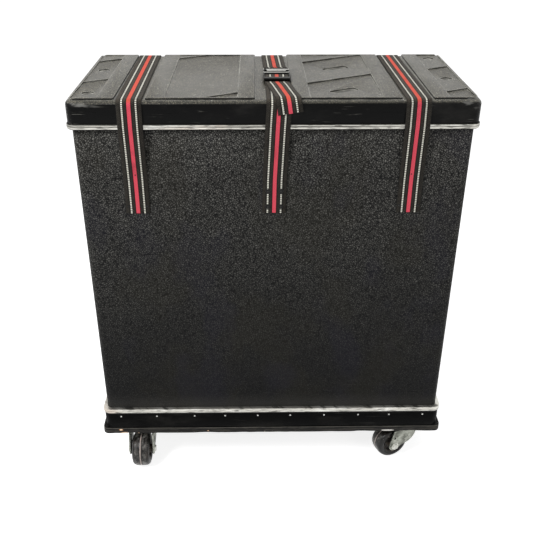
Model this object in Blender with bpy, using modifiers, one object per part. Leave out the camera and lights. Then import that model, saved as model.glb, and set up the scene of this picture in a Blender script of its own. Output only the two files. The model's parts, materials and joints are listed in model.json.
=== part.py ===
# Drum hardware case: a telescoping moulded lid over a sheet body, on a moulded tray and a plywood
# board with four swivel casters, held shut by three webbing straps with side-release buckles.
# Metres, +Z up. The floor is z = 0, the front faces -Y and the middle of the plan is the origin.

import math

import bmesh
import bpy
from mathutils import Matrix, Vector

COLLECTION = "drum_hardware_case"

# Fits
SEAT_GAP = 0.0003
RUNNING_GAP = 0.0003

# Body shell
BODY_LENGTH = 0.610
BODY_DEPTH = 0.2835
BODY_HEIGHT = 0.610
BODY_CORNER = 0.0245
BODY_WALL = 0.003

# Lid and tray mouldings
MOULDING_OVERHANG = 0.0055
LID_WALL = 0.0044
LID_SKIRT = 0.044
LID_EDGE_RADIUS = 0.008
TRAY_FLOOR = 0.005
TRAY_HEIGHT = 0.0417
TRAY_EDGE_RADIUS = 0.003

# Lid top: strap channels, plateaus and the sloping fields sunk into them
CHANNEL_DEPTH = 0.003
SIDE_CHANNEL_WIDTH = 0.046
CENTRE_CHANNEL_WIDTH = 0.0565
PLATEAU_INSET = 0.006
PLATEAU_EDGE = 0.0016
PLATEAU_CORNER = 0.003
END_PANEL_OUTER_MARGIN = 0.005
END_PANEL_INNER_MARGIN = 0.0255
INNER_PANEL_OUTER_MARGIN = 0.0288
INNER_PANEL_INNER_MARGIN = 0.02595
PANEL_BORDER = 0.004
RIDGE_PITCH = 0.140
RIDGE_SLANT = math.radians(28)
RIDGE_LAND = 0.004
FIELD_DEEP = 0.0024
FIELD_SHALLOW = 0.0008
SLOT_WIDTH = 0.009
SLOT_DEPTH = 0.0012
INNER_SLOT_LENGTH = 0.047
END_SLOT_LENGTH = 0.018

# Metal rims
RIM_BEAD = 0.0014
RIM_LIP = 0.0005
RIM_WEB = 0.0024
LID_RIM_HEIGHT = 0.0085
BASE_RIM_HEIGHT = 0.010

# Plywood board
BOARD_END_OVERHANG = 0.0055
BOARD_THICKNESS = 0.0127
BOARD_CORNER = 0.018
BOARD_EDGE = 0.001

# Webbing straps
WEBBING_WIDTH = 0.038
WEBBING_THICKNESS = 0.0015
SIDE_STRAP_INSET = 0.091
CENTRE_STRAP_X = 0.0066
STRAP_LOW_DROP = 0.1773
STRAP_ANCHOR_LENGTH = 0.055
STRAP_SPLIT_DROP = 0.004
TAIL_HANG = 0.016
TAIL_VEER = 0.16
TAIL_RISE = 0.032
REAR_TAIL_LENGTH = 0.042
REAR_ANCHOR_LOW_DROP = 0.2383

# Side-release buckles, in their own directions: across, along the pull, and thickness
BUCKLE_WIDTH = 0.0425
BUCKLE_SLOT_WIDTH = 0.0392
BUCKLE_SLOT_CORNER = 0.0003
SOCKET_LENGTH = 0.029
SOCKET_THICKNESS = 0.009
SOCKET_FLOOR = 0.0020
CAVITY_HEIGHT = 0.0052
CAVITY_WALL = 0.0016
NOTCH_DEPTH = 0.0042
PLUG_FRAME_LENGTH = 0.026
PLUG_THICKNESS = 0.0046
PRONG_REACH = 0.017
CENTRE_BUCKLE_MOUTH_Y = -0.016
REAR_BUCKLE_DROP = 0.1483

# End handles
HANDLE_DROP = 0.2083
HANDLE_STANDOFF = 0.0100
BAIL_ROD = 0.0035
BAIL_SPAN = 0.116
BAIL_DROP = 0.036
BAIL_BEND = 0.010
LOOP_SPACING = 0.094
LOOP_WIDTH = 0.010
LOOP_BARREL = 0.0070
LOOP_FOOT = 0.034
LOOP_FOOT_THICKNESS = 0.0022
GRIP_LENGTH = 0.086
GRIP_RADIUS = 0.0085

# Swivel casters
CASTER_HEIGHT = 0.080
WHEEL_RADIUS = 0.03175
TREAD_WIDTH = 0.033
TREAD_FLAT = 0.010
RIM_RADIUS = 0.0200
HUB_BOSS_RADIUS = 0.0080
AXLE_RADIUS = 0.0040
AXLE_HEAD_RADIUS = 0.0065
AXLE_HEAD_THICKNESS = 0.0028
CASTER_TRAIL = 0.032
FORK_WIDTH = 0.0465
FORK_SHEET = 0.0025
FORK_TOP_RADIUS = 0.0235
FORK_BOSS_RADIUS = 0.0085
FORK_TOP_DROP = 0.0110
PLATE_LENGTH = 0.080
PLATE_DEPTH = 0.060
PLATE_THICKNESS = 0.0025
PLATE_CORNER = 0.006
RACEWAY_RADIUS = 0.0200
RACEWAY_DEPTH = 0.0062
DISH_RADIUS = 0.0215
DISH_HEIGHT = 0.0019
KINGPIN_RADIUS = 0.0050
KINGPIN_HEAD_RADIUS = 0.0085
KINGPIN_HEAD_THICKNESS = 0.0030
LEFT_CASTER_INSET = 0.0675
RIGHT_CASTER_INSET = 0.0560
SIDE_CASTER_INSET = 0.045
LEFT_CASTER_HEADING = math.radians(-90)
RIGHT_CASTER_HEADING = math.radians(201)

# Facets
CORNER_STEPS = 7
EDGE_BEND_STEPS = 5
BEAD_STEPS = 6
WHEEL_STEPS = 32
HUB_STEPS = 20
PIN_STEPS = 16

# Levels that follow from the sizes above
BOARD_TOP = CASTER_HEIGHT + BOARD_THICKNESS
TRAY_BOTTOM = BOARD_TOP + SEAT_GAP
TRAY_FLOOR_TOP = TRAY_BOTTOM + TRAY_FLOOR
TRAY_TOP = TRAY_BOTTOM + TRAY_HEIGHT
BODY_BOTTOM = TRAY_FLOOR_TOP + SEAT_GAP
BODY_TOP = BODY_BOTTOM + BODY_HEIGHT
CHANNEL_UNDERSIDE = BODY_TOP + SEAT_GAP
CHANNEL_FLOOR = CHANNEL_UNDERSIDE + LID_WALL
LID_TOP = CHANNEL_FLOOR + CHANNEL_DEPTH
LID_BOTTOM = LID_TOP - LID_SKIRT
LID_RIM_BOTTOM = LID_BOTTOM - SEAT_GAP - RIM_WEB
LID_BEAD_LEVEL = LID_RIM_BOTTOM + LID_RIM_HEIGHT / 2
STRAP_SPLIT = LID_RIM_BOTTOM - STRAP_SPLIT_DROP
STRAP_LOW_END = BODY_TOP - STRAP_LOW_DROP
REAR_ANCHOR_LOW_END = BODY_TOP - REAR_ANCHOR_LOW_DROP
REAR_BUCKLE_MOUTH_Z = BODY_TOP - REAR_BUCKLE_DROP
HANDLE_HEIGHT = BODY_TOP - HANDLE_DROP

# Plan half sizes that follow from the sizes above
TRAY_WALL = MOULDING_OVERHANG - SEAT_GAP
MOULDING_LENGTH = BODY_LENGTH + 2 * MOULDING_OVERHANG
MOULDING_DEPTH = BODY_DEPTH + 2 * MOULDING_OVERHANG
MOULDING_CORNER = BODY_CORNER + MOULDING_OVERHANG
BOARD_LENGTH = MOULDING_LENGTH + 2 * BOARD_END_OVERHANG
BOARD_DEPTH = MOULDING_DEPTH
SIDE_STRAP_X = BODY_LENGTH / 2 - SIDE_STRAP_INSET
BODY_FACE = BODY_DEPTH / 2
LID_FACE = MOULDING_DEPTH / 2
BEAD_FACE = LID_FACE + SEAT_GAP + RIM_BEAD
WEBBING_LIFT = SEAT_GAP + WEBBING_THICKNESS / 2
LAYER_LIFT = WEBBING_LIFT + WEBBING_THICKNESS + SEAT_GAP

# Colours, roughness and metallic value of each finish
FINISHES = {
    "grained_sheet": ((0.030, 0.029, 0.031), 0.62, 0.0),
    "moulded_plastic": ((0.020, 0.020, 0.021), 0.38, 0.0),
    "rim_metal": ((0.78, 0.77, 0.74), 0.28, 1.0),
    "painted_plywood": ((0.035, 0.032, 0.030), 0.60, 0.0),
    "webbing": ((0.045, 0.040, 0.036), 0.85, 0.0),
    "buckle_plastic": ((0.028, 0.028, 0.029), 0.34, 0.0),
    "handle_steel": ((0.60, 0.60, 0.60), 0.30, 1.0),
    "grip_plastic": ((0.025, 0.025, 0.025), 0.50, 0.0),
    "zinc": ((0.62, 0.61, 0.58), 0.38, 1.0),
    "tyre_rubber": ((0.022, 0.021, 0.020), 0.55, 0.0),
    "hub_plastic": ((0.030, 0.028, 0.026), 0.48, 0.0),
}


# Scene and materials

def clear_scene():
    for item in list(bpy.data.objects):
        bpy.data.objects.remove(item, do_unlink=True)


def new_collection(name):
    collection = bpy.data.collections.new(name)
    bpy.context.scene.collection.children.link(collection)
    return collection


def material(name):
    found = bpy.data.materials.get(name)
    if found:
        return found
    colour, roughness, metallic = FINISHES[name]
    made = bpy.data.materials.new(name)
    made.use_nodes = True
    shader = made.node_tree.nodes["Principled BSDF"]
    shader.inputs["Base Color"].default_value = (*colour, 1.0)
    shader.inputs["Roughness"].default_value = roughness
    shader.inputs["Metallic"].default_value = metallic
    made.diffuse_color = (*colour, 1.0)
    return made


def add_part(name, mesh, finish, location=(0, 0, 0), turn=(0, 0, 0), parent=None):
    mesh.materials.clear()
    mesh.materials.append(material(finish))
    mesh.shade_smooth()
    mesh.set_sharp_from_angle(angle=math.radians(35))
    part = bpy.data.objects.new(name, mesh)
    part.location = location
    part.rotation_euler = turn
    part.parent = parent
    bpy.data.collections[COLLECTION].objects.link(part)
    return part


def add_empty(name, location, turn=(0, 0, 0), parent=None):
    empty = bpy.data.objects.new(name, None)
    empty.empty_display_size = 0.02
    empty.location = location
    empty.rotation_euler = turn
    empty.parent = parent
    bpy.data.collections[COLLECTION].objects.link(empty)
    return empty


# Outlines

def arc(centre, radius, start, end, steps):
    """Points along an arc, angles in degrees, both ends included."""
    points = []
    for index in range(steps + 1):
        angle = math.radians(start + (end - start) * index / steps)
        points.append((centre[0] + radius * math.cos(angle), centre[1] + radius * math.sin(angle)))
    return points


def round_box(low, high, radii, steps=CORNER_STEPS):
    """A rectangle with a radius at each corner, from low left round to high left."""
    corners = (
        ((low[0] + radii[0], low[1] + radii[0]), radii[0], 180),
        ((high[0] - radii[1], low[1] + radii[1]), radii[1], 270),
        ((high[0] - radii[2], high[1] - radii[2]), radii[2], 0),
        ((low[0] + radii[3], high[1] - radii[3]), radii[3], 90),
    )
    points = []
    for centre, radius, start in corners:
        points += arc(centre, radius, start, start + 90, steps)
    return points


def plan_outline(length, depth, radius):
    return round_box((-length / 2, -depth / 2), (length / 2, depth / 2), (radius,) * 4)


def circle(radius, steps):
    return arc((0, 0), radius, 0, 360 - 360 / steps, steps - 1)


def mirrored(half):
    """A closed outline from its right half, given from the front round to the back."""
    return half + [(-x, y) for x, y in reversed(half)]


def ribbon_outline(centreline, thickness):
    """The outline of a band of even thickness along a line, with mitred bends."""
    left, right = [], []
    last = len(centreline) - 1
    for index, point in enumerate(centreline):
        here = Vector(point)
        before = Vector(centreline[max(index - 1, 0)])
        after = Vector(centreline[min(index + 1, last)])
        into = (here - before).normalized() if index else (after - here).normalized()
        out = (after - here).normalized() if index < last else into
        normal = Vector((-(into + out).y, (into + out).x)).normalized()
        reach = thickness / 2 / max(normal.dot(Vector((-out.y, out.x))), 0.5)
        left.append(tuple(here + normal * reach))
        right.append(tuple(here - normal * reach))
    return left + right[::-1]


# Solids

def closed_mesh(name, source):
    """The evaluated mesh of an object, its caps welded and its faces pointing out."""
    graph = bpy.context.evaluated_depsgraph_get()
    graph.update()
    mesh = bpy.data.meshes.new_from_object(source.evaluated_get(graph), depsgraph=graph)
    mesh.transform(source.matrix_world)
    mesh.name = name
    shape = bmesh.new()
    shape.from_mesh(mesh)
    bmesh.ops.remove_doubles(shape, verts=shape.verts, dist=0.000001)
    bmesh.ops.recalc_face_normals(shape, faces=shape.faces)
    shape.to_mesh(mesh)
    shape.free()
    return mesh


def slab(name, outlines, low, high):
    """A flat plate of one or more outlines, from z = low to z = high."""
    curve = bpy.data.curves.new(name, "CURVE")
    curve.dimensions = "2D"
    curve.fill_mode = "BOTH"
    curve.extrude = (high - low) / 2
    for outline in outlines:
        spline = curve.splines.new("POLY")
        spline.points.add(len(outline) - 1)
        for point, (x, y) in zip(spline.points, outline):
            point.co = (x, y, 0, 1)
        spline.use_cyclic_u = True
    holder = bpy.data.objects.new(name, curve)
    bpy.context.scene.collection.objects.link(holder)
    mesh = closed_mesh(name, holder)
    bpy.data.objects.remove(holder)
    bpy.data.curves.remove(curve)
    mesh.transform(Matrix.Translation((0, 0, (low + high) / 2)))
    return mesh


def block(name, low, high):
    corners = [(low[0], low[1]), (high[0], low[1]), (high[0], high[1]), (low[0], high[1])]
    return slab(name, [corners], low[2], high[2])


def across(mesh, x):
    """Turns a slab drawn in Y and Z so that its thickness runs along X, and moves it to x."""
    mesh.transform(Matrix(((0, 0, 1, x), (1, 0, 0, 0), (0, 1, 0, 0), (0, 0, 0, 1))))
    return mesh


def turned(name, profile, steps, closed):
    """A turned shape about Z, its profile given down the outer side from top to bottom."""
    mesh = bpy.data.meshes.new(name)
    count = len(profile)
    edges = [(index, index + 1) for index in range(count - 1)]
    if closed:
        edges.append((count - 1, 0))
    mesh.from_pydata([(radius, 0, height) for radius, height in profile], edges, [])
    holder = bpy.data.objects.new(name, mesh)
    bpy.context.scene.collection.objects.link(holder)
    screw = holder.modifiers.new("turn", "SCREW")
    screw.steps = steps
    screw.render_steps = steps
    screw.use_merge_vertices = True
    screw.merge_threshold = 0.00001
    result = closed_mesh(name, holder)
    bpy.data.objects.remove(holder)
    return result


def tube(name, points, radius, sides):
    """A round rod along a line of points, with filled ends."""
    curve = bpy.data.curves.new(name, "CURVE")
    curve.dimensions = "3D"
    curve.bevel_depth = radius
    curve.bevel_resolution = sides
    curve.use_fill_caps = True
    spline = curve.splines.new("POLY")
    spline.points.add(len(points) - 1)
    for point, place in zip(spline.points, points):
        point.co = (*place, 1)
    holder = bpy.data.objects.new(name, curve)
    bpy.context.scene.collection.objects.link(holder)
    mesh = closed_mesh(name, holder)
    bpy.data.objects.remove(holder)
    bpy.data.curves.remove(curve)
    return mesh


def swept_ring(name, path, profile):
    """A closed section, drawn outwards and upwards, carried once round a flat closed path."""
    section = bpy.data.curves.new(name + "_section", "CURVE")
    section.dimensions = "2D"
    section.fill_mode = "NONE"
    run = bpy.data.curves.new(name, "CURVE")
    run.dimensions = "2D"
    run.fill_mode = "NONE"
    inward = [(-out, up) for out, up in profile]
    for curve, outline in ((section, inward), (run, path)):
        spline = curve.splines.new("POLY")
        spline.points.add(len(outline) - 1)
        for point, (x, y) in zip(spline.points, outline):
            point.co = (x, y, 0, 1)
        spline.use_cyclic_u = True
    section_holder = bpy.data.objects.new(name + "_section", section)
    holder = bpy.data.objects.new(name, run)
    for item in (section_holder, holder):
        bpy.context.scene.collection.objects.link(item)
    run.bevel_mode = "OBJECT"
    run.bevel_object = section_holder
    mesh = closed_mesh(name, holder)
    for item in (section_holder, holder):
        bpy.data.objects.remove(item)
    return mesh


def merged(name, meshes):
    """One mesh of several separate bodies, for use as a cutter."""
    shape = bmesh.new()
    for mesh in meshes:
        shape.from_mesh(mesh)
    result = bpy.data.meshes.new(name)
    shape.to_mesh(result)
    shape.free()
    return result


def combined(name, mesh, *steps):
    """Applies Boolean steps, each an operation and a tool mesh, in order."""
    holder = bpy.data.objects.new(name, mesh)
    bpy.context.scene.collection.objects.link(holder)
    tools = []
    for operation, tool_mesh in steps:
        tool = bpy.data.objects.new(name + "_tool", tool_mesh)
        tool.hide_render = True
        tool.display_type = "WIRE"
        bpy.data.collections["cutters"].objects.link(tool)
        modifier = holder.modifiers.new(operation.lower(), "BOOLEAN")
        modifier.operation = operation
        modifier.object = tool
        tools.append(tool)
    result = closed_mesh(name, holder)
    for item in tools + [holder]:
        bpy.data.objects.remove(item)
    return result


def bevelled(mesh, width, segments, chosen):
    """Rounds the edges whose two ends both pass the test."""
    shape = bmesh.new()
    shape.from_mesh(mesh)
    flat = [edge for edge in shape.edges if edge.calc_face_angle(1) < 0.001]
    bmesh.ops.dissolve_edges(shape, edges=flat, use_verts=False)
    sharp = math.radians(25)
    edges = [
        edge for edge in shape.edges
        if edge.calc_face_angle(0) > sharp and all(chosen(vert.co) for vert in edge.verts)
    ]
    bmesh.ops.bevel(shape, geom=edges, offset=width, segments=segments, profile=0.5, affect="EDGES")
    shape.to_mesh(mesh)
    shape.free()
    return mesh


def at_level(level):
    return lambda place: abs(place.z - level) < 0.00001


# Casings

def body_shell():
    outer = plan_outline(BODY_LENGTH, BODY_DEPTH, BODY_CORNER)
    inner = plan_outline(BODY_LENGTH - 2 * BODY_WALL, BODY_DEPTH - 2 * BODY_WALL, BODY_CORNER - BODY_WALL)
    add_part("body_shell", slab("body_shell", [outer, inner], BODY_BOTTOM, BODY_TOP), "grained_sheet")


def base_board():
    mesh = slab("base_board", [plan_outline(BOARD_LENGTH, BOARD_DEPTH, BOARD_CORNER)], CASTER_HEIGHT, BOARD_TOP)
    bevelled(mesh, BOARD_EDGE, 1, lambda place: True)
    add_part("base_board", mesh, "painted_plywood")


def base_tray():
    mesh = slab("base_tray", [plan_outline(MOULDING_LENGTH, MOULDING_DEPTH, MOULDING_CORNER)],
                TRAY_BOTTOM, TRAY_TOP)
    bevelled(mesh, TRAY_EDGE_RADIUS, 2, at_level(TRAY_BOTTOM))
    hollow_length = MOULDING_LENGTH - 2 * TRAY_WALL
    hollow_depth = MOULDING_DEPTH - 2 * TRAY_WALL
    hollow = slab("tray_hollow", [plan_outline(hollow_length, hollow_depth, MOULDING_CORNER - TRAY_WALL)],
                  TRAY_FLOOR_TOP, TRAY_TOP + BODY_WALL)
    add_part("base_tray", combined("base_tray", mesh, ("DIFFERENCE", hollow)), "moulded_plastic")


def rim_section(height, wall):
    """A rounded outer bead with a web that caps the moulding's edge, drawn outwards and upwards."""
    middle = height / 2
    bead = []
    for index in range(BEAD_STEPS + 1):
        angle = math.pi * index / BEAD_STEPS
        reach = SEAT_GAP + RIM_LIP + (RIM_BEAD - RIM_LIP) * math.sin(angle)
        bead.append((reach, middle + middle * math.cos(angle)))
    return [(SEAT_GAP, height)] + bead + [(-wall, 0), (-wall, RIM_WEB), (SEAT_GAP, RIM_WEB)]


def rims():
    path = plan_outline(MOULDING_LENGTH, MOULDING_DEPTH, MOULDING_CORNER)
    lid_ring = swept_ring("lid_rim", path, rim_section(LID_RIM_HEIGHT, LID_WALL))
    lid_ring.transform(Matrix.Translation((0, 0, LID_RIM_BOTTOM)))
    add_part("lid_rim", lid_ring, "rim_metal")
    base_section = [(out, -up) for out, up in reversed(rim_section(BASE_RIM_HEIGHT, TRAY_WALL))]
    base_ring = swept_ring("base_rim", path, base_section)
    base_ring.transform(Matrix.Translation((0, 0, TRAY_TOP + SEAT_GAP + RIM_WEB)))
    add_part("base_rim", base_ring, "rim_metal")


# Lid moulding

def plateau_spans():
    """Low and high X of the four raised plateaus, between the channels and the lid's ends."""
    end = MOULDING_LENGTH / 2 - PLATEAU_INSET
    outer = SIDE_STRAP_X + SIDE_CHANNEL_WIDTH / 2
    inner = SIDE_STRAP_X - SIDE_CHANNEL_WIDTH / 2
    middle = CENTRE_CHANNEL_WIDTH / 2
    return [(-end, -outer), (-inner, -middle), (middle, inner), (outer, end)]


def plateau_outline(span, inset):
    """A plateau's plan. The end plateaus follow the lid's round corners."""
    depth = MOULDING_DEPTH / 2 - PLATEAU_INSET - inset
    small = PLATEAU_CORNER
    large = MOULDING_CORNER - PLATEAU_INSET - inset
    left = large if span[0] < -SIDE_STRAP_X else small
    right = large if span[1] > SIDE_STRAP_X else small
    return round_box((span[0] + inset, -depth), (span[1] - inset, depth), (left, right, right, left), 5)


def panel_spans(spans):
    """Low and high X of the panel sunk into each plateau, its margins mirrored about the lid's middle."""
    margins = (
        (END_PANEL_OUTER_MARGIN, END_PANEL_INNER_MARGIN), (INNER_PANEL_OUTER_MARGIN, INNER_PANEL_INNER_MARGIN),
        (INNER_PANEL_INNER_MARGIN, INNER_PANEL_OUTER_MARGIN), (END_PANEL_INNER_MARGIN, END_PANEL_OUTER_MARGIN),
    )
    return [(low + left, high - right) for (low, high), (left, right) in zip(spans, margins)]


def panel_cutter(name, span, first_ridge, pitch):
    """Sloping fields between slanted ridges: a saw-tooth section, slanted, then trimmed to the panel."""
    reach = MOULDING_DEPTH / 2 - PLATEAU_INSET - PANEL_BORDER
    centre = sum(span) / 2
    width = span[1] - span[0]
    above = LID_TOP + FIELD_DEEP
    high = above + FIELD_DEEP
    first = first_ridge - pitch * math.ceil((first_ridge + 1.5 * reach) / pitch)
    count = math.ceil(3 * reach / pitch) + 1
    teeth = []
    for index in range(count):
        front = first + index * pitch + RIDGE_LAND / 2
        back = first + (index + 1) * pitch - RIDGE_LAND / 2
        teeth += [(front, above), (front, LID_TOP - FIELD_SHALLOW), (back, LID_TOP - FIELD_DEEP), (back, above)]
    section = teeth + [(teeth[-1][0], high), (teeth[0][0], high)]
    saw = across(slab(name, [section], -width, width), 0)
    saw.transform(Matrix(((1, 0, 0, 0), (math.tan(RIDGE_SLANT), 1, 0, 0), (0, 0, 1, 0), (0, 0, 0, 1))))
    saw.transform(Matrix.Translation((centre, 0, 0)))
    box = block(name + "_box", (centre - width / 2, -reach, LID_TOP - 2 * FIELD_DEEP),
                (centre + width / 2, reach, above - FIELD_DEEP / 2))
    return combined(name, box, ("INTERSECT", saw))


def slot_cutter(name, centre, middle_y, length):
    """A short slot with round ends, in line with the ridges."""
    half = (length - SLOT_WIDTH) / 2
    radius = SLOT_WIDTH / 2
    outline = arc((half, 0), radius, -90, 90, 6) + arc((-half, 0), radius, 90, 270, 6)
    field = (FIELD_DEEP + FIELD_SHALLOW) / 2
    mesh = slab(name, [outline], LID_TOP - field - SLOT_DEPTH, LID_TOP + FIELD_DEEP)
    mesh.transform(Matrix.Translation((centre, middle_y, 0)) @ Matrix.Rotation(RIDGE_SLANT, 4, "Z"))
    return mesh


def lid_shell():
    """The skirted cap, its four plateaus, the hollow inside them, and the panels cut into their tops."""
    mesh = slab("lid_shell", [plan_outline(MOULDING_LENGTH, MOULDING_DEPTH, MOULDING_CORNER)],
                LID_BOTTOM, CHANNEL_FLOOR)
    bevelled(mesh, LID_EDGE_RADIUS, 4, at_level(CHANNEL_FLOOR))
    spans = plateau_spans()
    root = CHANNEL_FLOOR - CHANNEL_DEPTH / 2
    plateaus = []
    for span in spans:
        plateau = slab("plateau", [plateau_outline(span, 0)], root, LID_TOP)
        plateaus.append(bevelled(plateau, PLATEAU_EDGE, 2, at_level(LID_TOP)))
    hollow_size = (MOULDING_LENGTH - 2 * LID_WALL, MOULDING_DEPTH - 2 * LID_WALL, MOULDING_CORNER - LID_WALL)
    hollow = slab("lid_hollow", [plan_outline(*hollow_size)], LID_BOTTOM - LID_WALL, CHANNEL_UNDERSIDE)
    pockets = [slab("pocket", [plateau_outline(span, LID_WALL)], LID_BOTTOM, LID_TOP - LID_WALL) for span in spans]
    # Each panel: Y of one ridge, ridge pitch, slot length, and the fields that have a slot.
    panels = (
        (-0.038, RIDGE_PITCH, END_SLOT_LENGTH, (0, -1)),
        (-0.138, 2 * RIDGE_PITCH, 0, ()),
        (-0.027, RIDGE_PITCH, INNER_SLOT_LENGTH, (0, -1)),
        (-0.097, RIDGE_PITCH, END_SLOT_LENGTH, (0, 1)),
    )
    fields, slots = [], []
    for span, (ridge, pitch, slot_length, slot_fields) in zip(panel_spans(spans), panels):
        fields.append(panel_cutter("panel", span, ridge, pitch))
        for field in slot_fields:
            middle = ridge + (field + 0.5) * pitch
            slots.append(slot_cutter("slot", sum(span) / 2, middle, slot_length))
    result = combined(
        "lid_shell", mesh,
        ("UNION", merged("plateaus", plateaus)),
        ("DIFFERENCE", hollow),
        ("DIFFERENCE", merged("pockets", pockets)),
        ("DIFFERENCE", merged("fields", fields)),
        ("DIFFERENCE", merged("slots", slots)),
    )
    add_part("lid_shell", result, "moulded_plastic")


# Webbing

def strap(name, centreline, x):
    """A band of webbing along a line in Y and Z."""
    half = WEBBING_WIDTH / 2
    mesh = across(slab(name, [ribbon_outline(centreline, WEBBING_THICKNESS)], -half, half), x)
    return add_part(name, mesh, "webbing")


def veer_tail(tail, hinge, middle, low_end):
    """Lets the free tail drift sideways with its travel forward of the hinge and down the lid's front."""
    bend_y = -(LID_FACE - LID_EDGE_RADIUS)
    bend_z = CHANNEL_FLOOR - LID_EDGE_RADIUS
    shape = bmesh.new()
    shape.from_mesh(tail.data)
    everything = list(shape.verts) + list(shape.edges) + list(shape.faces)
    bmesh.ops.bisect_plane(shape, geom=everything, dist=0.00001, plane_co=(0, hinge, 0), plane_no=(0, 1, 0))
    for vert in shape.verts:
        x, y, z = vert.co
        travel = max(hinge - max(y, bend_y), 0)
        if y < bend_y:
            turn = math.atan2(bend_y - y, max(z - bend_z, 0))
            travel += turn * (LID_EDGE_RADIUS + LAYER_LIFT) + max(bend_z - z, 0)
        vert.co.x = x + TAIL_VEER * travel
        if z < low_end + WEBBING_THICKNESS / 4:
            vert.co.z = z + TAIL_VEER * (x - middle)
    shape.to_mesh(tail.data)
    shape.free()


def slope_to_bead(level, leave):
    """Y distance of a strap's middle where it slants from the body face out to the lid bead."""
    share = (level - leave) / (LID_BEAD_LEVEL - leave)
    return BODY_FACE + WEBBING_LIFT + share * (BEAD_FACE - BODY_FACE)


def lower_run(low, leave):
    """From the riveted end up the body, and out towards the bead as far as the split."""
    return [
        (-(BODY_FACE + WEBBING_LIFT), low),
        (-(BODY_FACE + WEBBING_LIFT), leave),
        (-slope_to_bead(STRAP_SPLIT, leave), STRAP_SPLIT),
    ]


def edge_bend(low_lift, high_lift):
    """Round the lid's front edge from the skirt to the top, the lift changing evenly on the way."""
    y, z = -(LID_FACE - LID_EDGE_RADIUS), CHANNEL_FLOOR - LID_EDGE_RADIUS
    points = []
    for index in range(EDGE_BEND_STEPS + 1):
        share = index / EDGE_BEND_STEPS
        radius = LID_EDGE_RADIUS + low_lift + share * (high_lift - low_lift)
        angle = share * math.pi / 2
        points.append((y - radius * math.cos(angle), z + radius * math.sin(angle)))
    return points


def lid_edge_run(leave):
    """From the split up the skirt and round the lid's front edge."""
    bend = edge_bend(WEBBING_LIFT, WEBBING_LIFT)
    split = STRAP_SPLIT + SEAT_GAP
    return [(-slope_to_bead(split, leave), split), (-(BEAD_FACE + WEBBING_LIFT), LID_BEAD_LEVEL)] + bend


def tail_run(low_end):
    """The tail's free part: up onto the plateau's level, then over the lid's front edge and down to its end."""
    bend = edge_bend(LAYER_LIFT, CHANNEL_DEPTH + WEBBING_LIFT)
    lean = (BEAD_FACE - LID_FACE) / (bend[0][1] - LID_BEAD_LEVEL)
    end = (bend[0][0] - lean * (bend[0][1] - low_end), low_end)
    rise = on_lid([(PLUG_FRAME_LENGTH + TAIL_RISE, CHANNEL_DEPTH + WEBBING_LIFT)])
    return rise + bend[::-1] + [end]


def to_back(points):
    return [(-y, z) for y, z in reversed(points)]


def socket_loop():
    """Along and up from the channel floor: under the socket's end bar, over it and back as a sewn lap."""
    low = WEBBING_LIFT
    lap = LAYER_LIFT
    bar_top = SOCKET_FLOOR + CAVITY_HEIGHT - SEAT_GAP + WEBBING_THICKNESS / 3
    slot = -(SOCKET_LENGTH - 0.0061)
    outer = -(SOCKET_LENGTH + 0.0012)
    return [
        (slot - 0.0017, low), (slot, low + 0.0016), (slot, bar_top - 0.0014), (slot - 0.0017, bar_top),
        (outer, bar_top), (outer - 0.0013, bar_top - 0.0014), (outer - 0.0023, lap + 0.0007),
        (outer - 0.0038, lap), (outer - 0.0238, lap),
    ]


def ladder_weave(reach):
    """Along and up from the mouth: up through the first slot, over the middle bar and out below the front bar."""
    lap = LAYER_LIFT
    top = SOCKET_FLOOR + PLUG_THICKNESS
    return [
        (0.0075, lap - 0.0006), (0.0076, top - 0.0021), (0.0086, top - 0.0004), (0.0100, top),
        (0.0140, top), (0.0156, top - 0.0007), (0.0167, top - 0.0023), (0.0182, lap + 0.0002),
        (0.0200, lap), (PLUG_FRAME_LENGTH + reach, lap),
    ]


def on_lid(points):
    """Buckle directions on the lid: the pull is towards the front."""
    return [(CENTRE_BUCKLE_MOUTH_Y - along, CHANNEL_FLOOR + up) for along, up in points]


def on_back(points):
    """Buckle directions on the back: the pull is upwards."""
    return [(BODY_FACE + up, REAR_BUCKLE_MOUTH_Z + along) for along, up in points]


def centre_strap():
    x = CENTRE_STRAP_X
    leave = STRAP_LOW_END + STRAP_ANCHOR_LENGTH
    strap("centre_strap_front", lower_run(STRAP_LOW_END, leave), x)
    strap("centre_strap_rear", to_back(lower_run(STRAP_LOW_END, leave)), x)
    under_plug = on_lid([(0.0058, WEBBING_LIFT)])
    strap("centre_strap_riser", lid_edge_run(leave) + under_plug, x)
    loop = [(CENTRE_BUCKLE_MOUTH_Y - along, CHANNEL_FLOOR + up) for along, up in reversed(socket_loop())]
    strap("centre_strap_back", loop + to_back(lid_edge_run(leave)), x)
    weave = on_lid(ladder_weave(0.004))
    end = CHANNEL_FLOOR - LID_EDGE_RADIUS - TAIL_HANG
    tail = strap("centre_strap_tail", weave + tail_run(end), x)
    veer_tail(tail, weave[-1][0], x, end)


def side_strap(side, x):
    leave = STRAP_LOW_END + STRAP_ANCHOR_LENGTH
    strap(side + "_strap_front", lower_run(STRAP_LOW_END, leave), x)
    straight = REAR_BUCKLE_MOUTH_Z + PLUG_FRAME_LENGTH + REAR_TAIL_LENGTH + SEAT_GAP
    down_back = [
        (BEAD_FACE + WEBBING_LIFT, LID_BEAD_LEVEL),
        (BODY_FACE + WEBBING_LIFT, straight),
        on_back([(0.0058, WEBBING_LIFT)])[0],
    ]
    front = lid_edge_run(leave)
    strap(side + "_strap_over", front + to_back(front[2:]) + down_back, x)
    strap(side + "_strap_tail", on_back(ladder_weave(REAR_TAIL_LENGTH)), x)
    anchor = on_back(socket_loop()[::-1]) + [(BODY_FACE + WEBBING_LIFT, REAR_ANCHOR_LOW_END)]
    strap(side + "_strap_anchor", anchor, x)


# Buckles, drawn with the mouth at the origin: X across, Y along the pull, Z outwards

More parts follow.
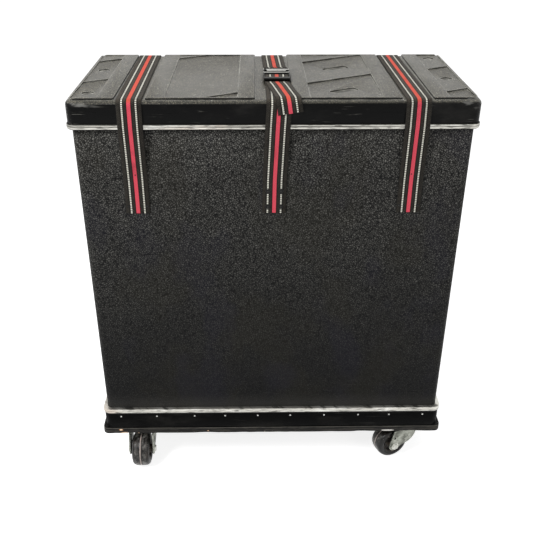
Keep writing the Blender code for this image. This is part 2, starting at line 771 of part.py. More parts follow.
def buckle_socket():
    half = BUCKLE_WIDTH / 2
    slot = BUCKLE_SLOT_WIDTH / 2
    low = SEAT_GAP
    high = low + SOCKET_THICKNESS
    bar_low = WEBBING_LIFT + WEBBING_THICKNESS / 2 + SEAT_GAP
    bar_high = SOCKET_FLOOR + CAVITY_HEIGHT - SEAT_GAP - WEBBING_THICKNESS / 2 + 0.0002
    outline = round_box((-half, -SOCKET_LENGTH), (half, 0), (0.003, 0.003, 0.0015, 0.0015), 3)
    mesh = slab("buckle_socket", [outline], low, high)
    bevelled(mesh, 0.0012, 2, at_level(high))
    cavity_half = half - CAVITY_WALL
    prong_end = -(PRONG_REACH + 0.002)
    cavity = block("cavity", (-cavity_half, prong_end, SOCKET_FLOOR),
                   (cavity_half, half, SOCKET_FLOOR + CAVITY_HEIGHT))
    window = block("window", (-2 * half, prong_end + 0.003, SOCKET_FLOOR + 0.0006),
                   (2 * half, prong_end + 0.011, SOCKET_FLOOR + CAVITY_HEIGHT - 0.0006))
    notches = []
    for sign in (-1, 1):
        edges = sorted((sign * (half - NOTCH_DEPTH), sign * 2 * half))
        notches.append(block("notch", (edges[0], prong_end + 0.0035, SOCKET_FLOOR + CAVITY_HEIGHT / 2),
                             (edges[1], prong_end + 0.009, 2 * high)))
    bar_front = -(SOCKET_LENGTH - 0.0038)
    passage = block("passage", (-slot, bar_front, -high), (slot, prong_end - 0.0015, 2 * high))
    under = block("under", (-slot, -2 * SOCKET_LENGTH, -high), (slot, prong_end - 0.0016, bar_low))
    over = block("over", (-slot, -2 * SOCKET_LENGTH, bar_high), (slot, bar_front + 0.0001, 2 * high))
    return combined("buckle_socket", mesh, ("DIFFERENCE", cavity), ("DIFFERENCE", window),
                    ("DIFFERENCE", merged("notches", notches)), ("DIFFERENCE", passage), ("DIFFERENCE", under), ("DIFFERENCE", over))


def buckle_plug():
    half = BUCKLE_WIDTH / 2
    slot = BUCKLE_SLOT_WIDTH / 2
    low = SOCKET_FLOOR + SEAT_GAP
    high = low + PLUG_THICKNESS
    arm = half - CAVITY_WALL - SEAT_GAP
    reach = -PRONG_REACH
    half_outline = [
        (half - 0.002, PLUG_FRAME_LENGTH), (half, PLUG_FRAME_LENGTH - 0.002), (half, SEAT_GAP),
        (arm, SEAT_GAP * 0.7), (arm - 0.0012, -0.005), (arm, -0.008), (arm, reach + 0.003),
        (arm - 0.0025, reach), (arm - 0.0050, reach), (arm - 0.0055, -0.004), (arm - 0.0075, -0.001),
        (0.0045, -0.001), (0.0030, -0.003), (0.0030, reach + 0.0015), (0.0015, reach),
    ]
    holes = [
        round_box((-slot, 0.005), (slot, 0.010), (BUCKLE_SLOT_CORNER,) * 4, 1),
        round_box((-slot, 0.014), (slot, 0.0193), (BUCKLE_SLOT_CORNER,) * 4, 1),
    ]
    mesh = slab("buckle_plug", [mirrored(half_outline)] + holes, low, high)
    bar_low = LAYER_LIFT + WEBBING_THICKNESS / 2 + SEAT_GAP
    bar_outline = round_box((0.0196, bar_low), (PLUG_FRAME_LENGTH + 0.0005, bar_low + 0.0052), (0.0018,) * 4, 3)
    bar_half = half - 0.0004
    front_bar = across(slab("front_bar", [bar_outline], -bar_half, bar_half), 0)
    rail_outline = round_box((0.001, low + 0.001), (PLUG_FRAME_LENGTH - 0.001, high + 0.0016), (0.001,) * 4, 2)
    rails = []
    for sign in (-1, 1):
        middle = sign * (half + slot) / 2
        width = (half - slot) / 2 - 0.0001
        rails.append(across(slab("rail", [rail_outline], -width, width), middle))
    under = block("under", (-slot, 0.0193 - 0.0001, 0), (slot, 2 * PLUG_FRAME_LENGTH, bar_low))
    weave_low = SOCKET_FLOOR + PLUG_THICKNESS - WEBBING_THICKNESS / 2 - SEAT_GAP
    over = block("over", (-slot, 0.0099, weave_low), (slot, 0.0141, 3 * high))
    return combined("buckle_plug", mesh, ("UNION", front_bar), ("UNION", merged("rails", rails)),
                    ("DIFFERENCE", under), ("DIFFERENCE", over))


def buckles():
    """One buckle on the lid, its pull to the front, and one behind each outer strap, its pull upwards."""
    socket = buckle_socket()
    plug = buckle_plug()
    lid_turn = Matrix(((-1, 0, 0), (0, -1, 0), (0, 0, 1)))
    back_turn = Matrix(((-1, 0, 0), (0, 0, 1), (0, 1, 0)))
    places = (
        ("centre", (CENTRE_STRAP_X, CENTRE_BUCKLE_MOUTH_Y, CHANNEL_FLOOR), lid_turn),
        ("left", (-SIDE_STRAP_X, BODY_FACE, REAR_BUCKLE_MOUTH_Z), back_turn),
        ("right", (SIDE_STRAP_X, BODY_FACE, REAR_BUCKLE_MOUTH_Z), back_turn),
    )
    for name, place, turn in places:
        angles = tuple(turn.to_euler())
        add_part(name + "_buckle_socket", socket.copy(), "buckle_plastic", place, angles)
        add_part(name + "_buckle_plug", plug.copy(), "buckle_plastic", place, angles)


# End handles, drawn for the right end: X outwards from the wall, Y along the pivot, Z up

def handle_bail():
    span = BAIL_SPAN / 2
    drop = BAIL_DROP
    bend = BAIL_BEND
    small = BAIL_BEND / 2
    pin_end = LOOP_SPACING / 2 - LOOP_WIDTH / 2 - 0.002
    half = [(pin_end, 0)]
    half += arc((span - small, -small), small, 90, 0, 3)
    half += arc((span - bend, -drop + bend), bend, 0, -90, 4)
    points = [(-y, z) for y, z in half] + half[::-1]
    return tube("bail", [(0, y, z) for y, z in points], BAIL_ROD, 2)


def handle_grip():
    half = GRIP_LENGTH / 2
    bore = BAIL_ROD + RUNNING_GAP
    waist = GRIP_RADIUS * 0.86
    profile = [
        (bore, half), (waist - 0.0012, half), (waist, half - 0.0012), (GRIP_RADIUS, half * 0.35),
        (GRIP_RADIUS, -half * 0.35), (waist, -half + 0.0012), (waist - 0.0012, -half), (bore, -half),
    ]
    mesh = turned("grip", profile, PIN_STEPS, True)
    mesh.transform(Matrix.Translation((0, 0, -BAIL_DROP)) @ Matrix.Rotation(math.pi / 2, 4, "X"))
    return mesh


def handle_loop():
    """A riveted loop: a foot flat on the wall and a barrel that the bail's pin turns in."""
    bore = BAIL_ROD + RUNNING_GAP
    wall = -HANDLE_STANDOFF + SEAT_GAP
    foot = wall + LOOP_FOOT_THICKNESS
    half = LOOP_FOOT / 2
    outline = [(wall, -half), (foot, -half), (foot, -LOOP_BARREL - 0.002)]
    outline += arc((0, 0), LOOP_BARREL, -100, 100, 12)
    outline += [(foot, LOOP_BARREL + 0.002), (foot, half), (wall, half)]
    hole = circle(bore, PIN_STEPS)
    mesh = slab("loop", [outline, hole], -LOOP_WIDTH / 2, LOOP_WIDTH / 2)
    mesh.transform(Matrix.Rotation(math.pi / 2, 4, "X"))
    return mesh


def handles():
    bail = handle_bail()
    grip = handle_grip()
    loop = handle_loop()
    for side, sign in (("left", -1), ("right", 1)):
        turn = (0, 0, 0) if sign > 0 else (0, 0, math.pi)
        place = (sign * (BODY_LENGTH / 2 + HANDLE_STANDOFF), 0, HANDLE_HEIGHT)
        pivot = add_empty("handle_%s_pivot" % side, place, turn)
        prefix = "handle_%s_" % side
        add_part(prefix + "bail", bail.copy(), "handle_steel", parent=pivot)
        add_part(prefix + "grip", grip.copy(), "grip_plastic", parent=pivot)
        for end, shift in (("front", -1), ("rear", 1)):
            spot = (0, sign * shift * LOOP_SPACING / 2, 0)
            add_part(prefix + "loop_" + end, loop.copy(), "handle_steel", spot, parent=pivot)


# Casters, drawn with the swivel axis at X = Y = 0 on the floor and the wheel trailing towards +X

def flat_facet_radius(radius):
    """Corner radius of the faceted wheel whose flats lie at the real radius."""
    return radius / math.cos(math.pi / WHEEL_STEPS)


def caster_tyre():
    half = TREAD_WIDTH / 2
    inner = RIM_RADIUS
    crown = WHEEL_RADIUS - inner
    right = [
        (inner, half - 0.0015), (inner + crown * 0.50, half), (inner + crown * 0.80, half * 0.90),
        (inner + crown * 0.955, half * 0.64), (WHEEL_RADIUS, TREAD_FLAT / 2),
    ]
    profile = right + [(radius, -height) for radius, height in reversed(right)]
    mesh = turned("tyre", [(flat_facet_radius(r), z) for r, z in profile], WHEEL_STEPS, True)
    mesh.transform(Matrix.Rotation(math.pi / WHEEL_STEPS, 4, "Z"))
    return mesh


def caster_hub():
    bore = AXLE_RADIUS + RUNNING_GAP
    reach = FORK_WIDTH / 2 - FORK_SHEET - 2 * RUNNING_GAP
    seat = RIM_RADIUS - SEAT_GAP
    rim = TREAD_WIDTH / 2 - 0.0010
    right = [
        (bore, reach), (HUB_BOSS_RADIUS, reach), (HUB_BOSS_RADIUS + 0.001, rim - 0.003),
        (seat - 0.0040, rim - 0.0050), (seat - 0.0025, rim), (seat, rim),
    ]
    profile = right + [(radius, -height) for radius, height in reversed(right)]
    return turned("hub", profile, HUB_STEPS, True)


def caster_axle():
    head = FORK_WIDTH / 2 + SEAT_GAP
    end = head + AXLE_HEAD_THICKNESS
    right = [
        (0, end), (AXLE_HEAD_RADIUS - 0.0008, end), (AXLE_HEAD_RADIUS, end - 0.0008),
        (AXLE_HEAD_RADIUS, head), (AXLE_RADIUS, head),
    ]
    profile = right + [(radius, -height) for radius, height in reversed(right)]
    return turned("axle", profile, PIN_STEPS, False)


def caster_fork():
    """A bent sheet fork: round top with a raised dish, two tapered legs and the axle's holes."""
    top = CASTER_HEIGHT - FORK_TOP_DROP
    crown = FORK_TOP_RADIUS
    plate = slab("fork_top", [circle(crown, 28)], top - FORK_SHEET, top)
    boss = (CASTER_TRAIL, -WHEEL_RADIUS)
    leg_reach = crown * 0.86
    outline = [(-leg_reach, -(top - 0.0008)), (-leg_reach, -(top - 0.011))]
    outline += [(x, y) for x, y in arc(boss, FORK_BOSS_RADIUS, 150, 20, 8)][::1]
    outline += [(leg_reach, -(top - 0.010)), (leg_reach, -(top - 0.0008))]
    leg_outline = [(x, -y) for x, y in outline]
    legs = []
    side = FORK_WIDTH / 2 - FORK_SHEET / 2
    hole = circle(AXLE_RADIUS + RUNNING_GAP, PIN_STEPS)
    bore = [(boss[0] + x, -boss[1] + y) for x, y in hole]
    for sign in (-1, 1):
        leg = slab("leg", [leg_outline, bore], -FORK_SHEET / 2, FORK_SHEET / 2)
        leg.transform(Matrix.Translation((0, sign * side, 0)) @ Matrix.Rotation(math.pi / 2, 4, "X"))
        legs.append(leg)
    shoulder = block("shoulder", (-leg_reach + 0.0004, -side, top - FORK_SHEET + 0.0004),
                     (leg_reach - 0.0004, side, top - 0.0004))
    dish = turned("dish", [(0, top + DISH_HEIGHT), (DISH_RADIUS * 0.86, top + DISH_HEIGHT),
                           (DISH_RADIUS, top - FORK_SHEET / 2), (0, top - FORK_SHEET / 2)], HUB_STEPS, False)
    pin_bore = slab("pin_bore", [circle(KINGPIN_RADIUS + RUNNING_GAP, PIN_STEPS)], 0, CASTER_HEIGHT)
    return combined("fork", plate, ("UNION", shoulder), ("UNION", merged("legs", legs)), ("UNION", dish),
                    ("DIFFERENCE", pin_bore))


def caster_plate():
    """The top plate with its pressed raceway below."""
    high = CASTER_HEIGHT - SEAT_GAP
    low = high - PLATE_THICKNESS
    mesh = slab("plate", [round_box((-PLATE_LENGTH / 2, -PLATE_DEPTH / 2), (PLATE_LENGTH / 2, PLATE_DEPTH / 2),
                                    (PLATE_CORNER,) * 4, 3)], low, high)
    bottom = CASTER_HEIGHT - FORK_TOP_DROP + DISH_HEIGHT + RUNNING_GAP
    raceway = turned("raceway", [(0, low + PLATE_THICKNESS / 2), (RACEWAY_RADIUS, low + PLATE_THICKNESS / 2),
                                 (RACEWAY_RADIUS, low - 0.001), (RACEWAY_RADIUS * 0.85, bottom),
                                 (0, bottom)], HUB_STEPS, False)
    bore = slab("bore", [circle(KINGPIN_RADIUS + SEAT_GAP, PIN_STEPS)], 0, 2 * CASTER_HEIGHT)
    return combined("plate", mesh, ("UNION", raceway), ("DIFFERENCE", bore))


def caster_kingpin():
    top = CASTER_HEIGHT - 2 * SEAT_GAP
    seat = CASTER_HEIGHT - FORK_TOP_DROP - FORK_SHEET - RUNNING_GAP
    low = seat - KINGPIN_HEAD_THICKNESS
    profile = [
        (0, top), (KINGPIN_RADIUS, top), (KINGPIN_RADIUS, seat), (KINGPIN_HEAD_RADIUS, seat),
        (KINGPIN_HEAD_RADIUS - 0.0012, low), (0, low),
    ]
    return turned("kingpin", profile, PIN_STEPS, False)


def casters():
    """Four casters at the board's corners. The rear pair is the front pair turned half round the middle."""
    plate, kingpin, fork = caster_plate(), caster_kingpin(), caster_fork()
    axle, hub, tyre = caster_axle(), caster_hub(), caster_tyre()
    depth = BOARD_DEPTH / 2 - SIDE_CASTER_INSET
    left = BOARD_LENGTH / 2 - LEFT_CASTER_INSET
    right = BOARD_LENGTH / 2 - RIGHT_CASTER_INSET
    places = (
        ("front_left", -left, -depth, LEFT_CASTER_HEADING),
        ("front_right", right, -depth, RIGHT_CASTER_HEADING),
        ("rear_left", -right, depth, RIGHT_CASTER_HEADING + math.pi),
        ("rear_right", left, depth, LEFT_CASTER_HEADING + math.pi),
    )
    for name, x, y, heading in places:
        prefix = "caster_%s_" % name
        add_part(prefix + "plate", plate.copy(), "zinc", (x, y, 0))
        add_part(prefix + "kingpin", kingpin.copy(), "zinc", (x, y, 0))
        swivel = add_empty(prefix + "swivel", (x, y, 0), (0, 0, heading))
        add_part(prefix + "fork", fork.copy(), "zinc", parent=swivel)
        spin = add_empty(prefix + "spin", (CASTER_TRAIL, 0, WHEEL_RADIUS), (math.pi / 2, 0, 0), swivel)
        add_part(prefix + "axle", axle.copy(), "zinc", parent=spin)
        add_part(prefix + "hub", hub.copy(), "hub_plastic", parent=spin)
        add_part(prefix + "tyre", tyre.copy(), "tyre_rubber", parent=spin)


def main():
    clear_scene()
    new_collection(COLLECTION)
    new_collection("cutters")
    body_shell()
    lid_shell()
    base_tray()
    rims()
    base_board()
    side_strap("left", -SIDE_STRAP_X)
    side_strap("right", SIDE_STRAP_X)
    centre_strap()
    buckles()
    handles()
    casters()


main()
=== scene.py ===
"""Finished look of a drum hardware case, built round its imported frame.

Metres, +Z up, the front faces -Y. The rigid pieces are copies of the frame's nodes with merged and
softened edges, or new pieces that replace them. The straps are webs of striped webbing.
"""

from __future__ import annotations

import json
import logging
import math
from collections.abc import Callable, Iterable, Iterator, Sequence
from contextlib import contextmanager
from dataclasses import dataclass, field
from enum import Enum

import bmesh
import bpy
from mathutils import Matrix, Vector, noise

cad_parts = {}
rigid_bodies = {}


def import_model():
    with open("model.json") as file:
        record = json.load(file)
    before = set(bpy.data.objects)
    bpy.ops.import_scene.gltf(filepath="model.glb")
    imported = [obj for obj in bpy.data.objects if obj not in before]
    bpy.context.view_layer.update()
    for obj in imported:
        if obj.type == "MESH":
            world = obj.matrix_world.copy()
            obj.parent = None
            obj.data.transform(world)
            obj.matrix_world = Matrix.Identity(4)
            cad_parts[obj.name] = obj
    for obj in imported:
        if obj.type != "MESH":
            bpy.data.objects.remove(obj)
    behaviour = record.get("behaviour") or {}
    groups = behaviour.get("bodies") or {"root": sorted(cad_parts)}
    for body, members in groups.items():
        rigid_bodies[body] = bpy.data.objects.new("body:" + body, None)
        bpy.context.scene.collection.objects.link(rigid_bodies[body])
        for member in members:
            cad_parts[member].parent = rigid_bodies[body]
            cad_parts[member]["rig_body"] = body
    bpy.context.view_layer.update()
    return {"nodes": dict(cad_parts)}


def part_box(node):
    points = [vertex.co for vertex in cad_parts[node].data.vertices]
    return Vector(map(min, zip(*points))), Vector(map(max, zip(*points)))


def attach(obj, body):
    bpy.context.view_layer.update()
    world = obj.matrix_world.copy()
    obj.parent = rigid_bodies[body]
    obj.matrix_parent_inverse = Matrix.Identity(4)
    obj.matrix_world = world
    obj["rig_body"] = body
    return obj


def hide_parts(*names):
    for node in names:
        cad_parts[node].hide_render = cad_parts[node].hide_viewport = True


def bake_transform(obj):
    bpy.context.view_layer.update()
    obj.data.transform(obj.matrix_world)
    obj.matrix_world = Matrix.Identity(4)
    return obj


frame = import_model()

log = logging.getLogger("drum_hardware_case")

Point = tuple[float, float, float]
Colour = tuple[float, float, float, float]
Thing = bpy.types.Object
Tree = bpy.types.NodeTree
FULL_TURN = 2 * math.pi
BEAD_RISE = 0.00425  # from a bead's lower edge to its middle
TRAY_RIVET_RISE = 0.0285  # from the tray's foot to its row of rivets
WEB_TURN = 0.0058  # from a buckle's mouth to where a web turns up into it


def tone(code: str) -> Colour:
    """Turns a colour as seen on screen into the linear colour that a shader takes.

    Args:
        code: Six hexadecimal digits, such as "2c2c2e".

    Returns:
        Linear red, green and blue, with a full alpha.
    """
    parts = [int(code[index:index + 2], 16) / 255 for index in (0, 2, 4)]
    linear = [part / 12.92 if part <= 0.04045 else ((part + 0.055) / 1.055) ** 2.4 for part in parts]
    return (linear[0], linear[1], linear[2], 1.0)


class Side(Enum):
    """The two ends of the case, as seen from the front."""

    LEFT = -1
    RIGHT = 1

    @property
    def word(self) -> str:
        """The side's word in node names."""
        return self.name.lower()


# Sizes taken from the frame


@dataclass(frozen=True)
class CaseSizes:
    """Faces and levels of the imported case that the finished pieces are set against."""

    body_face: float
    body_end: float
    lid_face: float
    lid_end: float
    bead_face: float
    bead_level: float
    lid_top: float
    tray_level: float
    strap_width: float
    strap_low: float
    seat_gap: float = 0.0003
    channel_depth: float = 0.003
    lid_edge_radius: float = 0.008

    @classmethod
    def measured(cls) -> CaseSizes:
        """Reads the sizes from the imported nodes.

        Returns:
            The sizes that this script works from.
        """
        body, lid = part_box("body_shell")[1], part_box("lid_shell")[1]
        rim_low, rim_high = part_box("lid_rim")
        tray_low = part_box("base_tray")[0]
        strap_low, strap_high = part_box("centre_strap_front")
        return cls(
            body_face=body.y, body_end=body.x, lid_face=lid.y, lid_end=lid.x, bead_face=rim_high.y,
            bead_level=rim_low.z + BEAD_RISE, lid_top=lid.z, tray_level=tray_low.z + TRAY_RIVET_RISE,
            strap_width=strap_high.x - strap_low.x, strap_low=strap_low.z,
        )

    @property
    def channel_floor(self) -> float:
        """Level of the strap channels in the lid."""
        return self.lid_top - self.channel_depth


# Modelling helpers


def only(thing: Thing) -> Thing:
    """Makes an object the one that is selected and active, and returns it."""
    bpy.ops.object.select_all(action="DESELECT")
    thing.select_set(True)
    bpy.context.view_layer.objects.active = thing
    return thing


def select(thing: Thing, kind: str, test: Callable) -> None:
    """Selects the faces or the edges that pass a test.

    Args:
        thing: The object, in edit mode.
        kind: "faces" or "edges".
        test: Tells whether a face or an edge is wanted.
    """
    bpy.context.tool_settings.mesh_select_mode = (False, kind == "edges", kind == "faces")
    shape = bmesh.from_edit_mesh(thing.data)
    for part in getattr(shape, kind):
        part.select_set(False)
    for part in getattr(shape, kind):
        if test(part):
            part.select_set(True)
    shape.select_flush_mode()
    bmesh.update_edit_mesh(thing.data)


def primitive(name: str, kind: str, **settings: object) -> Thing:
    """Adds a cube, a cylinder or a plane."""
    bpy.ops.object.select_all(action="DESELECT")
    getattr(bpy.ops.mesh, "primitive_%s_add" % kind)(**settings)
    bpy.context.object.name = name
    return bpy.context.object


@contextmanager
def editing(thing: Thing) -> Iterator[None]:
    """Opens an object's mesh in edit mode with all of it selected, and closes it afterwards."""
    only(thing)
    bpy.ops.object.mode_set(mode="EDIT")
    bpy.ops.mesh.select_all(action="SELECT")
    yield
    bpy.ops.object.mode_set(mode="OBJECT")


def bevel_edges(width: float, segments: int) -> None:
    """Rounds the selected edges, in edit mode."""
    bpy.ops.mesh.bevel(offset=width, segments=segments, profile=0.5, affect="EDGES")


def bisect(place: Point, normal: Point, **options: bool) -> None:
    """Cuts the whole mesh across at a plane, in edit mode."""
    bpy.ops.mesh.select_all(action="SELECT")
    bpy.ops.mesh.bisect(plane_co=place, plane_no=normal, **options)


def placed(name: str, data: bpy.types.ID) -> Thing:
    """Makes an object of a mesh, a camera or a lamp, and puts it in the scene."""
    thing = bpy.data.objects.new(name, data)
    bpy.context.scene.collection.objects.link(thing)
    return thing


def smooth(thing: Thing, degrees: float = 34.0) -> Thing:
    """Shades an object smooth, except across edges sharper than the angle."""
    only(thing)
    bpy.ops.object.shade_smooth_by_angle(angle=math.radians(degrees))
    return thing


def soften(thing: Thing, width: float, segments: int = 2, degrees: float = 38.0) -> None:
    """Rounds an object's sharp edges with an applied bevel.

    Args:
        thing: The object, in object mode.
        width: Width of the rounding.
        segments: Steps across the rounding.
        degrees: Edges sharper than this are rounded.
    """
    only(thing)
    bevel = thing.modifiers.new("soft_edges", "BEVEL")
    bevel.width = width
    bevel.segments = segments
    bevel.limit_method = "ANGLE"
    bevel.angle_limit = math.radians(degrees)
    bevel.use_clamp_overlap = False
    bevel.miter_outer = "MITER_ARC"
    bpy.ops.object.modifier_apply(modifier=bevel.name)


def settle(thing: Thing) -> Thing:
    """Moves an object's place, turn and scale into its mesh, and returns it."""
    only(thing)
    bpy.ops.object.transform_apply(location=True, rotation=True, scale=True)
    return thing


def joined(name: str, things: Sequence[Thing]) -> Thing:
    """Joins objects into one.

    Args:
        name: Name of the joined object.
        things: The objects, the first of which stays.

    Returns:
        The joined object.
    """
    bpy.ops.object.select_all(action="DESELECT")
    for thing in things:
        thing.select_set(True)
    bpy.context.view_layer.objects.active = things[0]
    if len(things) > 1:
        bpy.ops.object.join()
    things[0].name = name
    return things[0]


def set_out(name: str, pattern: Thing, places: Iterable[Matrix]) -> Thing:
    """Copies a pattern piece to several places and joins the copies.

    Args:
        name: Name of the joined piece.
        pattern: The piece to copy, at the origin. It is left as it was.
        places: Where each copy goes.

    Returns:
        The joined piece.
    """
    copies = []
    for place in places:
        copy = placed(name, pattern.data.copy())
        copy.data.transform(place)
        copies.append(copy)
    return joined(name, copies)


def discard(*things: Thing) -> None:
    """Removes pattern pieces that have been copied."""
    for thing in things:
        bpy.data.objects.remove(thing, do_unlink=True)


def cut_out(thing: Thing, cutter: Thing) -> None:
    """Cuts one object out of another and removes the cutter."""
    settle(cutter)
    only(thing)
    cut = thing.modifiers.new("cut", "BOOLEAN")
    cut.operation = "DIFFERENCE"
    cut.object = cutter
    bpy.ops.object.modifier_apply(modifier=cut.name)
    discard(cutter)


def cut_box(thing: Thing, low: Point, high: Point) -> None:
    """Cuts a box out of an object, given the box's two corners."""
    cutter = primitive("cutter", "cube", size=1, location=(Vector(low) + Vector(high)) / 2)
    cutter.scale = Vector(high) - Vector(low)
    cut_out(thing, cutter)


def spun(name: str, profile: Sequence[tuple[float, float]], steps: int, closed: bool) -> Thing:
    """Spins a profile of radius and height once round Z.

    Args:
        name: Name of the new object.
        profile: Radius and height of each point.
        steps: Steps in the full turn.
        closed: Whether the profile closes on itself, as a ring's does.

    Returns:
        The turned object.
    """
    mesh = bpy.data.meshes.new(name)
    count = len(profile)
    edges = [(index, index + 1) for index in range(count - 1)]
    if closed:
        edges.append((count - 1, 0))
    mesh.from_pydata([(radius, 0.0, height) for radius, height in profile], edges, [])
    thing = placed(name, mesh)
    with editing(thing):
        bpy.ops.mesh.spin(steps=steps, angle=FULL_TURN, center=(0, 0, 0), axis=(0, 0, 1))
        bpy.ops.mesh.select_all(action="SELECT")
        bpy.ops.mesh.remove_doubles(threshold=0.000005)
        bpy.ops.mesh.normals_make_consistent(inside=False)
    return thing


def put_finish(thing: Thing, *finishes: Finish) -> None:
    """Gives an object its materials, one for each finish."""
    thing.data.materials.clear()
    for finish in finishes:
        thing.data.materials.append(finish.material())


def report(thing: Thing) -> Thing:
    """Logs a finished piece and returns it."""
    log.info("%s: %d faces", thing.name, len(thing.data.polygons))
    return thing


def finish_rigid(
    thing: Thing, body: str, finishes: Sequence[Finish], nodes: Sequence[str] = ()
) -> Thing:
    """Dresses a rigid piece and puts it on its body.

    Args:
        thing: The piece, its place in its mesh.
        body: The body that it rides on.
        finishes: Its finishes.
        nodes: The frame's nodes that it stands for.

    Returns:
        The piece.
    """
    put_finish(thing, *finishes)
    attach(thing, body)
    if nodes:
        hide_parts(*nodes)
    return report(thing)


def stand_in(thing: Thing, node: str, *finishes: Finish) -> Thing:
    """Dresses a rigid piece that stands for one node, and puts it on the node's body."""
    return finish_rigid(thing, node_body(node), finishes, [node])


def merged_copy(node: str, flatten: bool = True) -> Thing:
    """Copies a node, merges its loose triangles and dissolves its flat edges.

    Args:
        node: Name of the frame's node.
        flatten: Whether the edges inside flat faces are dissolved.

    Returns:
        The copy, named after the node.
    """
    copy = only(placed("made_" + node, frame["nodes"][node].data.copy()))
    bpy.ops.mesh.customdata_custom_splitnormals_clear()
    with editing(copy):
        bpy.ops.mesh.remove_doubles(threshold=0.00001)
        if flatten:
            bpy.ops.mesh.dissolve_limited(angle_limit=math.radians(0.4))
    return copy


def node_body(node: str) -> str:
    """The body that a node rides on."""
    return frame["nodes"][node]["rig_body"]


def dressed_copy(
    node: str, finish: Finish, width: float = 0.0, segments: int = 2, degrees: float = 34.0,
    flatten: bool = True, shape: Callable[[Thing], None] | None = None,
) -> Thing:
    """Replaces a node by a merged copy with softened edges and smooth curves.

    Args:
        node: Name of the frame's node.
        finish: The copy's finish.
        width: Width of the softened edges, or 0 to leave them.
        segments: Steps across the softened edges.
        degrees: Angle up to which faces are shaded as one curve.
        flatten: Whether the edges inside flat faces are dissolved first.
        shape: Reshapes the copy before its edges are softened, if it is given.

    Returns:
        The finished piece.
    """
    copy = merged_copy(node, flatten)
    if shape:
        shape(copy)
    if width:
        soften(copy, width, segments)
    smooth(copy, degrees)
    return stand_in(copy, node, finish)


# Shader writing


